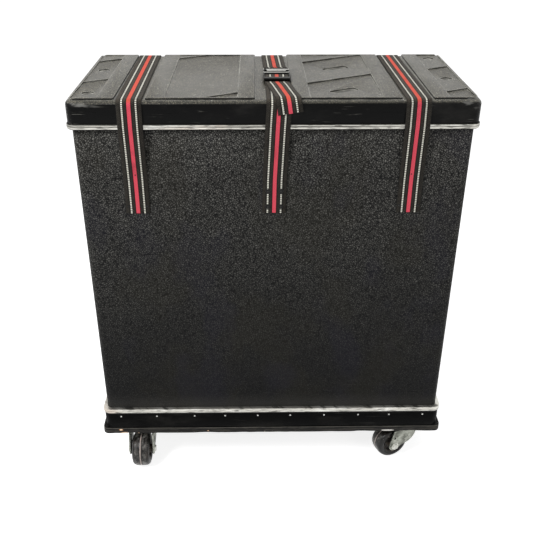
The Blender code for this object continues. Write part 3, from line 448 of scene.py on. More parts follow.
class NodeWriter:
    """Adds nodes to one tree and links them."""

    def __init__(self, tree: Tree) -> None:
        """Keeps the tree that nodes are added to."""
        self.tree = tree

    def add(self, kind: str, inputs: dict | None = None, **settings: object) -> bpy.types.Node:
        """Adds a node.

        Args:
            kind: The node's type.
            inputs: Its inputs by name or number, as plain values or as other nodes' outputs.
            **settings: Its own settings.

        Returns:
            The new node.
        """
        node = self.tree.nodes.new(kind)
        for key, value in settings.items():
            setattr(node, key, value)
        for key, value in (inputs or {}).items():
            self.feed(node.inputs[key], value)
        return node

    def feed(self, socket: bpy.types.NodeSocket, value: object) -> None:
        """Links an output to a socket, or sets the socket's own value."""
        if isinstance(value, bpy.types.NodeSocket):
            self.tree.links.new(value, socket)
        else:
            socket.default_value = value

    def math(self, operation: str, first: object, second: object = 0.0, third: object = 0.0):
        """One Math node's output."""
        node = self.add("ShaderNodeMath", {0: first, 1: second}, operation=operation)
        if len(node.inputs) > 2:
            self.feed(node.inputs[2], third)
        return node.outputs[0]

    def times(self, first: object, second: object):
        """The product of two values."""
        return self.math("MULTIPLY", first, second)

    def rest(self, value: object):
        """What a value leaves of 1."""
        return self.math("SUBTRACT", 1.0, value)

    def step(self, value: object, low: float, high: float):
        """0 below the low value and 1 above the high one, with a soft change between them."""
        inputs = {"Value": value, "From Min": low, "From Max": high}
        return self.add("ShaderNodeMapRange", inputs, interpolation_type="SMOOTHSTEP").outputs["Result"]

    def between(self, value: object, low: object, high: object):
        """Maps 0 to 1 onto a low and a high value."""
        inputs = {"Value": value, "To Min": low, "To Max": high}
        return self.add("ShaderNodeMapRange", inputs).outputs["Result"]

    def mix(self, factor: object, first: object, second: object, blend: str = "MIX"):
        """A colour between two colours."""
        inputs = {0: factor, 6: first, 7: second}
        return self.add("ShaderNodeMix", inputs, data_type="RGBA", blend_type=blend).outputs[2]

    def noise(self, vector: object, scale: float, detail: float = 3.0, roughness: float = 0.55):
        """A noise pattern's value."""
        inputs = {"Vector": vector, "Scale": scale, "Detail": detail, "Roughness": roughness}
        return self.add("ShaderNodeTexNoise", inputs).outputs["Fac"]

    def streaks(self, vector: object, scale: Point, detail: float, roughness: float = 0.55):
        """A noise pattern's value, with its own scale along each axis."""
        return self.noise(self.stretched(vector, scale), 1.0, detail, roughness)

    def cells(self, vector: object, scale: object, feature: str = "F1") -> bpy.types.Node:
        """A cell pattern's node."""
        return self.add("ShaderNodeTexVoronoi", {"Vector": vector, "Scale": scale}, feature=feature)

    def stretched(self, vector: object, scale: Point, turn: Point = (0, 0, 0)):
        """A vector scaled and turned by a Mapping node."""
        inputs = {"Vector": vector, "Scale": scale, "Rotation": turn}
        return self.add("ShaderNodeMapping", inputs).outputs[0]

    def vector(self, operation: str, first: object, second: object):
        """One vector Math node's vector."""
        return self.add("ShaderNodeVectorMath", {0: first, 1: second}, operation=operation).outputs[0]

    def channel(self, node: bpy.types.Node, index: int):
        """One channel of a node's colour."""
        return self.add("ShaderNodeSeparateColor", {0: node.outputs["Color"]}).outputs[index]

    def place(self):
        """The piece's own coordinates, in metres."""
        return self.add("ShaderNodeTexCoord").outputs["Object"]

    def facing_up(self):
        """The upward share of the surface's own normal."""
        normal = self.add("ShaderNodeTexCoord").outputs["Normal"]
        return self.add("ShaderNodeSeparateXYZ", {0: normal}).outputs["Z"]

    def split(self, vector: object) -> tuple:
        """A vector's three parts."""
        node = self.add("ShaderNodeSeparateXYZ", {0: vector})
        return node.outputs["X"], node.outputs["Y"], node.outputs["Z"]

    def bump(self, height: object, strength: float, distance: float, normal: object = None):
        """A bumped normal, laid over another if one is given."""
        inputs = {"Height": height, "Strength": strength, "Distance": distance}
        if normal is not None:
            inputs["Normal"] = normal
        return self.add("ShaderNodeBump", inputs).outputs["Normal"]

    def seen(self):
        """1 for the rays of the camera and of glossy and clear faces, and 0 for all others."""
        rays = self.add("ShaderNodeLightPath").outputs
        mirrored = self.math("MAXIMUM", rays["Is Glossy Ray"], rays["Is Transmission Ray"])
        return self.math("MAXIMUM", rays["Is Camera Ray"], mirrored)

    def group(self, effect: type[Effect], vector: object, **inputs: object) -> bpy.types.Node:
        """A shared effect's node, with its own values."""
        node = self.add("ShaderNodeGroup", node_tree=effect.tree())
        for key, value in {"Vector": vector, **inputs}.items():
            self.feed(node.inputs[key], value)
        return node

    def mask(self, effect: type[Effect], vector: object, **inputs: object):
        """A shared effect's mask, with its own values."""
        return self.group(effect, vector, **inputs).outputs["Mask"]


# Shader groups that several finishes share


class Effect:
    """A shader group, built on first use. Its inputs are a vector and values with their usual settings."""

    name: str
    values: dict[str, float]
    results: Sequence[str] = ("Mask",)

    @classmethod
    def tree(cls) -> Tree:
        """The effect's group.

        Returns:
            The group, written on its first use.
        """
        made = bpy.data.node_groups.get(cls.name)
        if made is None:
            made = bpy.data.node_groups.new(cls.name, "ShaderNodeTree")
            made.interface.new_socket(name="Vector", in_out="INPUT", socket_type="NodeSocketVector")
            for key, value in cls.values.items():
                socket = made.interface.new_socket(name=key, in_out="INPUT", socket_type="NodeSocketFloat")
                socket.default_value = value
            for key in cls.results:
                made.interface.new_socket(name=key, in_out="OUTPUT", socket_type="NodeSocketFloat")
            writer = NodeWriter(made)
            given = writer.add("NodeGroupInput").outputs
            writer.add("NodeGroupOutput", dict(zip(cls.results, cls.write(writer, given))))
        return made

    @staticmethod
    def write(writer: NodeWriter, given: bpy.types.NodeOutputs) -> Sequence:
        """Writes the group's nodes and returns its results."""
        raise NotImplementedError


class PebbleGrain(Effect):
    """Rounded pebbles of uneven size, as pressed into sheet and moulded plastic."""

    name = "pebble_grain"
    values = {"Scale": 300.0}
    results = ("Height", "Tint")

    @staticmethod
    def write(writer: NodeWriter, given: bpy.types.NodeOutputs) -> Sequence:
        """Writes the group's nodes and returns its results."""
        wobble = writer.add("ShaderNodeTexNoise", {"Vector": given["Vector"], "Scale": 90.0})
        offset = writer.vector("MULTIPLY", wobble.outputs["Color"], (0.006,) * 3)
        moved = writer.vector("ADD", given["Vector"], offset)
        edge = writer.cells(moved, given["Scale"], "DISTANCE_TO_EDGE").outputs["Distance"]
        cell = writer.cells(moved, given["Scale"])
        dome = writer.step(edge, 0.0, 0.34)
        fine = writer.cells(moved, writer.times(given["Scale"], 3.1)).outputs["Distance"]
        height = writer.math("MULTIPLY_ADD", fine, -0.22, dome)
        shade = writer.between(writer.channel(cell, 0), 0.44, 0.82)
        return height, writer.times(dome, shade)


class Specks(Effect):
    """Scattered specks of dust or pitting."""

    name = "specks"
    values = {"Scale": 120.0, "Share": 0.1, "Size": 0.2}

    @staticmethod
    def write(writer: NodeWriter, given: bpy.types.NodeOutputs) -> Sequence:
        """Writes the group's nodes and returns its results."""
        cell = writer.cells(given["Vector"], given["Scale"])
        picked = writer.math("LESS_THAN", writer.channel(cell, 1), given["Share"])
        inside = writer.math("LESS_THAN", cell.outputs["Distance"], given["Size"])
        return [writer.times(picked, inside)]


class Scratches(Effect):
    """Fine scratches in two directions, broken up along their length."""

    name = "scratches"
    values = {"Fine": 1.0, "Share": 0.3}

    @staticmethod
    def write(writer: NodeWriter, given: bpy.types.NodeOutputs) -> Sequence:
        """Writes the group's nodes and returns its results."""
        scaled = writer.add("ShaderNodeVectorMath", {0: given["Vector"], "Scale": given["Fine"]},
                            operation="SCALE").outputs[0]
        layers = []
        for turn in ((0.3, 0.2, 0.6), (0.1, 0.5, 2.1)):
            lines = writer.noise(writer.stretched(scaled, (18, 620, 620), turn), 1.0, 2.0)
            layers.append(writer.step(lines, 0.66, 0.72))
        both = writer.math("MAXIMUM", layers[0], layers[1])
        broken = writer.step(writer.noise(scaled, 24.0), 0.5, 0.62)
        return [writer.times(writer.times(both, broken), given["Share"])]


class EdgeWear(Effect):
    """A mask of worn edges, uneven along their length."""

    name = "edge_wear"
    values = {"Radius": 0.001, "Patches": 60.0}

    @staticmethod
    def write(writer: NodeWriter, given: bpy.types.NodeOutputs) -> Sequence:
        """Writes the group's nodes and returns its results."""
        rounded = writer.add("ShaderNodeBevel", {"Radius": given["Radius"]}, samples=6)
        true_normal = writer.add("ShaderNodeNewGeometry").outputs["Normal"]
        match = writer.add("ShaderNodeVectorMath", {0: rounded.outputs[0], 1: true_normal},
                           operation="DOT_PRODUCT").outputs["Value"]
        edge = writer.step(writer.rest(match), 0.01, 0.16)
        patchy = writer.add("ShaderNodeTexNoise", {"Vector": given["Vector"], "Scale": given["Patches"],
                                                   "Detail": 4.0})
        worn = writer.between(writer.step(patchy.outputs["Fac"], 0.38, 0.60), 0.35, 1.0)
        return [writer.times(edge, worn)]


class DustAndSheen(Effect):
    """Lightens faces that look up, more in patches: dust with a painted sheen on the lid and tray, and a painted
    reflection on the buckles.
    """

    name = "dust"
    values = {"Up": 0.0, "Amount": 0.5}

    @staticmethod
    def write(writer: NodeWriter, given: bpy.types.NodeOutputs) -> Sequence:
        """Writes the group's nodes and returns its results."""
        level = writer.step(given["Up"], 0.38, 0.90)
        patches = writer.between(writer.noise(given["Vector"], 9.0, 5.0), 0.55, 1.25)
        return [writer.times(writer.times(level, patches), given["Amount"])]


# Finishes


@dataclass(frozen=True)
class Finish:
    """A surface finish, made into one material on first use."""

    name: str
    slot: str

    def material(self) -> bpy.types.Material:
        """The finish's material.

        Returns:
            The material, painted on its first use.
        """
        title = "finish_" + self.name
        made = bpy.data.materials.get(title)
        if made is None:
            made = bpy.data.materials.new(title)
            made.use_nodes = True
            writer = NodeWriter(made.node_tree)
            shader = made.node_tree.nodes["Principled BSDF"]
            for key, value in self.paint(writer).items():
                writer.feed(shader.inputs[key], value)
        return made

    def paint(self, writer: NodeWriter) -> dict[str, object]:
        """Writes the material's nodes and returns the shader's inputs."""
        raise NotImplementedError


@dataclass(frozen=True)
class GrainedSheet(Finish):
    """Black sheet with a pressed leather-like grain, faintly mottled and marked, and painted light and shade."""

    high: Colour = tone("7b7a75")
    low: Colour = tone("0c0c0d")
    grain: float = 330.0
    shadow_line_level: float = 0.668
    light_fall_low: float = 0.12
    light_fall_high: float = 0.66

    def paint(self, writer: NodeWriter) -> dict[str, object]:
        """Writes the material's nodes and returns the shader's inputs."""
        place = writer.place()
        pebbles = writer.group(PebbleGrain, place, Scale=self.grain)
        clouds = writer.noise(place, 7.0, 4.0)
        level = writer.split(place)[2]
        # Painted light from above: the sheet is lighter near the top and darker towards the foot, and lightened just
        # under the lid's bead where shade falls.
        painted_light_fall = writer.math("ADD", level, writer.between(clouds, -0.09, 0.09))
        painted_light_fall = writer.between(writer.step(painted_light_fall, self.light_fall_low, self.light_fall_high), 0.12, 1.0)
        painted_light_fall = writer.times(painted_light_fall, writer.between(writer.step(level, 0.58, 0.667), 1.0, 1.4))
        clumps = writer.between(writer.noise(place, 210.0, 2.0), 0.62, 1.28)
        tint = writer.times(writer.times(pebbles.outputs["Tint"], clumps), painted_light_fall)
        base = writer.mix(tint, self.low, self.high)
        olive = writer.step(writer.noise(writer.stretched(place, (1, 1, 0.7)), 9.0), 0.46, 0.62)
        base = writer.mix(writer.times(olive, 0.22), base, tone("2d2b22"))
        violet = writer.step(writer.noise(writer.stretched(place, (1, 1, 0.6)), 13.0), 0.5, 0.66)
        base = writer.mix(writer.times(violet, 0.22), base, tone("282733"))
        rubbed = writer.mask(Scratches, place, Fine=0.45, Share=0.22)
        base = writer.mix(rubbed, base, tone("5a5956"))
        lint = writer.mask(Specks, place, Scale=26.0, Share=0.012, Size=0.03)
        base = writer.mix(lint, base, tone("a8a8a2"))
        # Painted shadow: a near-black band just under the lid's bead, where the bead shades the sheet.
        shadow_line = writer.step(level, self.shadow_line_level - 0.0022, self.shadow_line_level)
        base = writer.mix(shadow_line, base, tone("050505"))
        # Painted light: the lowest part of the sheet is lightened against the shade that the tray and its rim throw
        # on it.
        foot = writer.times(writer.step(level, 0.172, 0.138), 0.55)
        base = writer.mix(foot, base, tone("3f3e3c"))
        return {
            "Base Color": base,
            "Roughness": writer.between(pebbles.outputs["Height"], 0.62, 0.42),
            "Specular IOR Level": 0.08,
            "Normal": writer.bump(pebbles.outputs["Height"], 0.9, 0.0005),
        }


@dataclass(frozen=True)
class MouldedPlastic(Finish):
    """Smooth black moulded plastic: dust and a painted sheen where it looks up, wear and a painted highlight along
    its edges.
    """

    base: Colour = tone("080808")
    dust_and_sheen_colour: Colour = tone("aaa38e")
    hollow: Colour = tone("2b2a24")
    rub: Colour = tone("cfcdc2")
    dust_and_sheen_amount: float = 1.0
    gloss: float = 0.3
    specular: float = 0.08
    grain: float = 430.0
    shadow_line_level: float = 9.0
    top_level: float = 9.0
    slot_shade_levels: tuple[float, float] = (9.0, 9.1)

    def paint(self, writer: NodeWriter) -> dict[str, object]:
        """Writes the material's nodes and returns the shader's inputs."""
        place = writer.place()
        up = writer.facing_up()
        grain = writer.group(PebbleGrain, place, Scale=self.grain)
        dust = writer.mask(DustAndSheen, place, Up=up, Amount=self.dust_and_sheen_amount)
        x, _y, z = writer.split(place)
        # Dust and painted sheen: the flat tops of the lid are lightened as well.
        on_top = writer.times(writer.step(z, self.top_level, self.top_level + 0.0004), 0.62)
        on_top = writer.times(on_top, writer.step(up, 0.80, 0.95))
        dust_and_sheen_mask = writer.math("MAXIMUM", dust, on_top)
        wear = writer.mask(EdgeWear, place, Radius=0.0030, Patches=45.0)
        scratch = writer.mask(Scratches, place, Fine=0.8, Share=0.3)
        speck = writer.mask(Specks, place, Scale=210.0, Share=0.10, Size=0.22)
        clumps = writer.between(writer.noise(place, 300.0, 3.0, 0.7), -0.7, 1.9)
        dust_and_sheen_grain = writer.mix(writer.times(grain.outputs["Height"], clumps), self.hollow, self.dust_and_sheen_colour)
        base = writer.mix(dust_and_sheen_mask, self.base, dust_and_sheen_grain)
        base = writer.mix(writer.times(speck, dust_and_sheen_mask), base, tone("aeab9f"))
        # Painted shadow: near-black above the shadow-line level, under the base rim; the level is set only for the
        # tray.
        shadow_line = writer.step(z, self.shadow_line_level - 0.0022, self.shadow_line_level)
        base = writer.mix(shadow_line, base, tone("030303"))
        # Painted shade: the floors of the short slots in the lid's panels are darkened.
        low_slot, high_slot = self.slot_shade_levels
        slot = writer.times(writer.step(z, low_slot, low_slot + 0.0001),
                           writer.step(z, high_slot, high_slot - 0.0001))
        base = writer.mix(writer.times(slot, 0.45), base, tone("090909"))
        base = writer.mix(scratch, base, self.rub)
        # Wear and a painted highlight: edges take the light rub colour, more where faces look up.
        rubbed = writer.times(wear, writer.between(dust_and_sheen_mask, 0.35, 0.95))
        base = writer.mix(rubbed, base, self.rub)
        # Painted glints: light streaks along the rolled front edge near the lid's corners, where nothing lies on
        # top.
        painted_glint = writer.step(writer.streaks(place, (26, 26, 90), 3.0), 0.54, 0.66)
        painted_glint = writer.times(painted_glint, writer.step(writer.math("ABSOLUTE", x), 0.235, 0.30))
        rolled = writer.step(z, self.top_level - 0.016, self.top_level - 0.006)
        painted_glint = writer.times(painted_glint, writer.times(rolled, writer.rest(dust_and_sheen_mask)))
        base = writer.mix(writer.times(painted_glint, 0.55), base, tone("aaa9a4"))
        smudge = writer.step(writer.streaks(place, (9, 9, 22), 5.0, 0.65), 0.48, 0.72)
        smudge = writer.times(smudge, writer.math("SUBTRACT", 0.5, writer.times(dust_and_sheen_mask, 0.5)))
        base = writer.mix(smudge, base, tone("2c2b29"))
        streaks = writer.noise(writer.stretched(place, (1, 1, 5)), 30.0, 4.0)
        sheen = writer.between(streaks, self.gloss - 0.1, self.gloss + 0.1)
        matt = writer.math("MULTIPLY_ADD", dust_and_sheen_mask, 0.28, sheen)
        wavy = writer.noise(place, 26.0, 2.0)
        normal = writer.bump(wavy, 0.35, 0.0012)
        fine = writer.bump(grain.outputs["Height"], 0.6, 0.0002, normal)
        return {
            "Base Color": base,
            "Coat Weight": writer.times(dust_and_sheen_mask, 0.7),
            "Coat Roughness": 0.38,
            "Roughness": matt,
            "Specular IOR Level": self.specular,
            "Normal": fine,
        }


@dataclass(frozen=True)
class RolledBead(Finish):
    """Bright rolled metal bead with dark pits and a warm cast in places, painted highlights and a painted reflection
    band, and painted shade at its top and lower edges.
    """

    bright: Colour = tone("c4c2ba")
    pit: Colour = tone("35332f")
    band: float = 0.0002
    levels: tuple[float, float] = (0.1324, 0.67355)

    def paint(self, writer: NodeWriter) -> dict[str, object]:
        """Writes the material's nodes and returns the shader's inputs."""
        place = writer.place()
        x, y, z = writer.split(place)
        along = writer.math("ADD", x, writer.times(y, 0.83))
        run = writer.add("ShaderNodeCombineXYZ", {0: along, 1: 0.0, 2: z}).outputs[0]
        dashes = writer.streaks(run, (46, 1, 620), 5.0, 0.6)
        pits = writer.step(dashes, 0.50, 0.60)
        warm = writer.step(writer.noise(run, 6.0, 2.0), 0.52, 0.7)
        base = writer.mix(writer.times(warm, 0.5), self.bright, tone("cdb9a8"))
        # Painted highlights: bright streaks along the bead.
        glare = writer.step(writer.streaks(run, (9, 1, 60), 3.0), 0.50, 0.66)
        base = writer.mix(writer.times(glare, 0.75), base, tone("fbfaf4"))
        base = writer.mix(writer.times(pits, 0.8), base, self.pit)
        on_lid = writer.math("GREATER_THAN", z, 0.4)
        low_level, high_level = self.levels
        level = writer.math("SUBTRACT", z, writer.between(on_lid, low_level, high_level))
        # Painted reflection: a dark band along the bead's middle, broken along its length, strongest on the lid's
        # bead.
        painted_reflection_band = writer.math("ABSOLUTE", writer.math("SUBTRACT", level, self.band))
        painted_reflection_band = writer.rest(writer.step(painted_reflection_band, 0.0006, 0.0013))
        dull = writer.step(writer.streaks(run, (4, 1, 30), 4.0), 0.36, 0.62)
        dull = writer.times(writer.between(dull, 1.0, 0.5), writer.between(on_lid, 0.2, 1.0))
        base = writer.mix(writer.times(painted_reflection_band, dull), base, self.pit)
        # Painted shade: the lid's bead is darkened along its top, where it meets the skirt.
        darkening = writer.times(writer.step(level, 0.0024, 0.0034), on_lid)
        base = writer.mix(darkening, base, tone("24231f"))
        # Painted shade: the bead's lower edge, where it curves under, is darkened.
        under = writer.times(writer.math("ADD", level, writer.between(on_lid, 0.0, 0.0009)), -1.0)
        base = writer.mix(writer.step(under, 0.0018, 0.0030), base, tone("131210"))
        fine = writer.noise(run, 160.0, 4.0)
        dents = writer.streaks(run, (30, 1, 90), 3.0)
        return {
            "Base Color": base,
            "Metallic": 0.85,
            "Roughness": writer.between(fine, 0.24, 0.46),
            "Normal": writer.bump(dents, 0.6, 0.0008),
        }


@dataclass(frozen=True)
class Chip:
    """A place on the board's front where the paint is knocked off, with its half width and height."""

    x: float
    z: float
    half_width: float
    half_height: float
    pale: bool


@dataclass(frozen=True)
class PaintedPlywood(Finish):
    """Black painted plywood, with its plies showing and its edges chipped to the wood."""

    paint_colour: Colour = tone("151413")
    wood: Colour = tone("c98a55")
    heart: Colour = tone("ffe9cc")
    pale_wood: Colour = tone("f8f4ee")
    top_line: float = 0.0927
    front: float = -0.147
    chips: tuple[Chip, ...] = (
        Chip(-0.2826, 0.0884, 0.0040, 0.0022, False),
        Chip(-0.2775, 0.0808, 0.0075, 0.0022, False),
        Chip(-0.1200, 0.0842, 0.0016, 0.0014, False),
        Chip(0.2178, 0.0826, 0.0130, 0.0018, True),
        Chip(-0.2500, 0.0803, 0.0022, 0.0012, False),
    )

    def paint(self, writer: NodeWriter) -> dict[str, object]:
        """Writes the material's nodes and returns the shader's inputs."""
        place = writer.place()
        x, y, z = writer.split(place)
        ply = writer.streaks(place, (14, 14, 560), 4.0, 0.6)
        base = writer.mix(writer.step(ply, 0.44, 0.66), self.paint_colour, tone("4b4842"))
        patch = writer.streaks(place, (34, 34, 90), 4.0, 0.6)
        base = writer.mix(writer.times(writer.step(patch, 0.46, 0.60), 0.75), base, tone("0c0b0a"))
        # A lighter, broken band just under the top edge of the board's front.
        top_band = writer.step(z, self.top_line - 0.0022, self.top_line - 0.0006)
        broken = writer.between(writer.streaks(place, (70, 70, 200), 4.0), 0.1, 1.0)
        base = writer.mix(writer.times(top_band, broken), base, tone("6f6c65"))
        gouge = writer.step(writer.streaks(place, (150, 150, 420), 4.0, 0.7), 0.56, 0.68)
        base = writer.mix(writer.times(gouge, 0.6), base, tone("0d0c0b"))
        wear = writer.mask(EdgeWear, place, Radius=0.0022, Patches=38.0)
        base = writer.mix(writer.times(wear, 0.5), base, tone("6b6862"))
        # Painted shade: faces that look up are near black, as the board's top lies in the tray's shade.
        base = writer.mix(writer.step(writer.facing_up(), 0.7, 0.9), base, tone("070706"))
        rubs = writer.mask(Specks, place, Scale=75.0, Share=0.06, Size=0.12)
        base = writer.mix(rubs, base, tone("8a8378"))
        ragged = writer.between(writer.noise(place, 420.0, 3.0), -0.35, 0.35)
        bare = None
        for chip in self.chips:
            across = writer.math("DIVIDE", writer.math("SUBTRACT", x, chip.x), chip.half_width)
            up = writer.math("DIVIDE", writer.math("SUBTRACT", z, chip.z), chip.half_height)
            reach = writer.math("ADD", writer.math("POWER", writer.math("ABSOLUTE", across), 2.0),
                                writer.math("POWER", writer.math("ABSOLUTE", up), 2.0))
            torn = writer.math("ADD", reach, ragged)
            inside = writer.rest(writer.step(torn, 0.75, 1.0))
            front = writer.math("LESS_THAN", y, self.front + 0.004)
            mask = writer.times(inside, front)
            middle = writer.rest(writer.step(torn, 0.25, 0.6))
            fresh = writer.mix(middle, self.wood, self.heart)
            base = writer.mix(mask, base, self.pale_wood if chip.pale else fresh)
            bare = mask if bare is None else writer.math("MAXIMUM", bare, mask)
        raised = writer.math("MULTIPLY_ADD", bare, -1.2, ply)
        return {
            "Base Color": base,
            "Roughness": writer.between(writer.noise(place, 60.0), 0.45, 0.75),
            "Specular IOR Level": 0.15,
            "Normal": writer.bump(raised, 0.6, 0.0006),
        }


@dataclass(frozen=True)
class StripedWebbing(Finish):
    """Woven webbing: a red middle, two cream lines, and a dark herringbone ground, with painted light on faces that
    look up.
    """

    width: float = 38.0
    ground: Colour = tone("5b564e")
    line: Colour = tone("100f0d")
    cream: Colour = tone("f6f4e6")
    red_as_lit_from_above: Colour = tone("e4604e")
    red_as_lit_from_front: Colour = tone("f0596a")

    def paint(self, writer: NodeWriter) -> dict[str, object]:
        """Writes the material's nodes and returns the shader's inputs."""
        web = writer.add("ShaderNodeUVMap", uv_map="web").outputs[0]
        u, v, _unused = writer.split(web)
        across = writer.times(writer.math("SUBTRACT", u, 0.5), self.width)
        along = writer.times(v, self.width)
        off = writer.math("ABSOLUTE", across)
        zigzag = writer.math("PINGPONG", writer.math("ADD", across, 19.0), 2.1)
        twill = writer.math("SINE", writer.times(writer.math("ADD", along, zigzag), 2.5))
        pick = writer.math("SINE", writer.times(along, 2.1))
        ribs = writer.math("SINE", writer.times(across, 7.4))
        weave = writer.between(twill, 0.25, 1.0)
        uneven = writer.streaks(writer.place(), (260, 260, 260), 3.0)
        up = writer.step(writer.facing_up(), 0.3, 0.9)
        ground = writer.mix(writer.times(weave, uneven), tone("0b0a09"), self.ground)
        # Painted highlight: the twill is lightened on faces that look up.
        ground = writer.mix(writer.times(up, writer.between(twill, 0.05, 0.6)), ground, tone("6f665a"))
        for middle in (3.6, 8.5, 13.2):
            gap = writer.math("ABSOLUTE", writer.math("SUBTRACT", off, middle))
            dark = writer.rest(writer.step(gap, 0.35, 0.75))
            ground = writer.mix(writer.times(dark, 0.8), ground, self.line)
        # Lit and shaded copies of the red: one for faces that look up, one for faces to the front.
        red = writer.mix(up, self.red_as_lit_from_front, self.red_as_lit_from_above)
        red = writer.mix(writer.times(writer.step(twill, 0.2, 0.9), 0.4), red, tone("a02632"))
        in_red = writer.rest(writer.step(off, 2.75, 3.05))
        base = writer.mix(in_red, ground, red)
        line = writer.math("ABSOLUTE", writer.math("SUBTRACT", off, 10.5))
        in_line = writer.rest(writer.step(line, 1.05, 1.3))
        dotted = writer.step(pick, -0.75, -0.1)
        cream = writer.mix(dotted, tone("4a4740"), self.cream)
        base = writer.mix(in_line, base, cream)
        selvedge = writer.step(off, 18.2, 18.8)
        base = writer.mix(writer.times(selvedge, 0.7), base, self.line)
        # Patches of grime darken the webbing.
        darkening = writer.step(writer.noise(writer.place(), 38.0, 4.0), 0.5, 0.75)
        base = writer.mix(writer.times(darkening, 0.28), base, tone("1b1916"))
        threads = writer.math("MULTIPLY_ADD", ribs, 0.35, twill)
        return {
            "Base Color": base,
            "Roughness": 0.85,
            "Specular IOR Level": 0.12,
            "Sheen Weight": 0.06,
            "Sheen Roughness": 0.5,
            "Normal": writer.bump(threads, 0.55, 0.00022),
        }


@dataclass(frozen=True)
class BucklePlastic(Finish):
    """Black injection moulded plastic with a soft sheen, rubbed edges and a painted reflection on faces that look
    up.
    """

    base: Colour = tone("0c0c0c")
    top_reflection: Colour = tone("bab9b2")
    rub: Colour = tone("b4b3ad")
    top_reflection_amount: float = 1.0
    roughness: float = 0.34
    specular: float = 0.2

    def paint(self, writer: NodeWriter) -> dict[str, object]:
        """Writes the material's nodes and returns the shader's inputs."""
        place = writer.place()
        # Painted reflection: faces that look up are lightened to grey, strongly on the sockets and faintly on the
        # plugs.
        dust_and_sheen_mask = writer.mask(DustAndSheen, place, Up=writer.facing_up(), Amount=self.top_reflection_amount)
        wear = writer.mask(EdgeWear, place, Radius=0.0006, Patches=160.0)
        scratch = writer.mask(Scratches, place, Fine=2.4, Share=0.5)
        base = writer.mix(dust_and_sheen_mask, self.base, self.top_reflection)
        base = writer.mix(scratch, base, self.rub)
        base = writer.mix(writer.times(wear, 0.5), base, self.rub)
        fine = writer.noise(place, 700.0, 3.0)
        return {
            "Base Color": base,
            "Roughness": writer.between(fine, self.roughness - 0.06, self.roughness + 0.12),
            "Specular IOR Level": self.specular,
            "Normal": writer.bump(fine, 0.3, 0.0001),
        }


@dataclass(frozen=True)
class PlatedSteel(Finish):
    """Zinc or nickel plating on pressed steel, with dull patches and fine scratches."""

    bright: Colour = tone("a5a79d")
    dull: Colour = tone("64665e")
    edge: Colour = tone("e6e7dd")
    metallic: float = 0.75
    roughness: float = 0.42

    def paint(self, writer: NodeWriter) -> dict[str, object]:
        """Writes the material's nodes and returns the shader's inputs."""
        place = writer.place()
        spangle = writer.cells(place, 260.0)
        tint = writer.channel(spangle, 0)
        patches = writer.step(writer.noise(place, 70.0, 5.0), 0.38, 0.66)
        base = writer.mix(patches, self.bright, self.dull)
        base = writer.mix(writer.times(tint, 0.3), base, self.dull)
        stain = writer.step(writer.noise(place, 170.0, 4.0), 0.56, 0.70)
        base = writer.mix(writer.times(stain, 0.55), base, tone("4a473d"))
        wear = writer.mask(EdgeWear, place, Radius=0.0012, Patches=90.0)
        base = writer.mix(wear, base, self.edge)
        scratch = writer.mask(Scratches, place, Fine=2.0, Share=0.6)
        base = writer.mix(scratch, base, tone("e4e4de"))
        rough = writer.math("MULTIPLY_ADD", patches, 0.16, self.roughness)
        return {
            "Base Color": base,
            "Metallic": self.metallic,
            "Roughness": writer.math("MULTIPLY_ADD", tint, 0.08, rough),
            "Normal": writer.bump(writer.noise(place, 300.0, 3.0), 0.25, 0.0002),
        }


@dataclass(frozen=True)
class TyreRubber(Finish):
    """Black rubber tread, scuffed grey, with a pale line at the mould's joint and a painted highlight on each
    shoulder.
    """

    base: Colour = tone("0c0b0a")
    scuff: Colour = tone("787570")
    joint: Colour = tone("dccdc5")

    def paint(self, writer: NodeWriter) -> dict[str, object]:
        """Writes the material's nodes and returns the shader's inputs."""
        place = writer.place()
        across = writer.add("ShaderNodeAttribute", attribute_name="across").outputs["Fac"]
        off = writer.math("ABSOLUTE", across)
        scuffs = writer.step(writer.noise(place, 150.0, 6.0, 0.7), 0.48, 0.66)
        on_tread = writer.rest(writer.step(off, 0.010, 0.0155))
        base = writer.mix(writer.times(scuffs, writer.between(on_tread, 0.10, 0.32)),
                          self.base, self.scuff)
        # Painted highlight: a broken lighter band on each shoulder of the tread.
        painted_shoulder_highlight = writer.times(writer.step(off, 0.0015, 0.005),
                               writer.rest(writer.step(off, 0.0085, 0.0135)))
        worn = writer.between(writer.step(writer.noise(place, 80.0, 4.0), 0.42, 0.66), 0.0, 0.55)
        base = writer.mix(writer.times(painted_shoulder_highlight, worn), base, tone("a09d98"))
        brown = writer.step(writer.noise(place, 45.0, 3.0), 0.5, 0.72)
        base = writer.mix(writer.times(brown, 0.4), base, tone("3b3129"))
        ragged = writer.between(writer.noise(place, 160.0, 3.0), -0.0004, 0.0010)
        line = writer.rest(writer.step(writer.math("ADD", off, ragged), 0.0009, 0.0019))
        broken = writer.between(writer.noise(place, 210.0, 3.0), 0.25, 1.0)
        base = writer.mix(writer.times(line, broken), base, self.joint)
        grit = writer.mask(Specks, place, Scale=420.0, Share=0.10, Size=0.25)
        base = writer.mix(grit, base, tone("8c867e"))
        return {
            "Base Color": base,
            "Roughness": writer.between(scuffs, 0.28, 0.6),
            "Specular IOR Level": 0.3,
            "Normal": writer.bump(writer.noise(place, 520.0, 4.0), 0.4, 0.0003),
        }


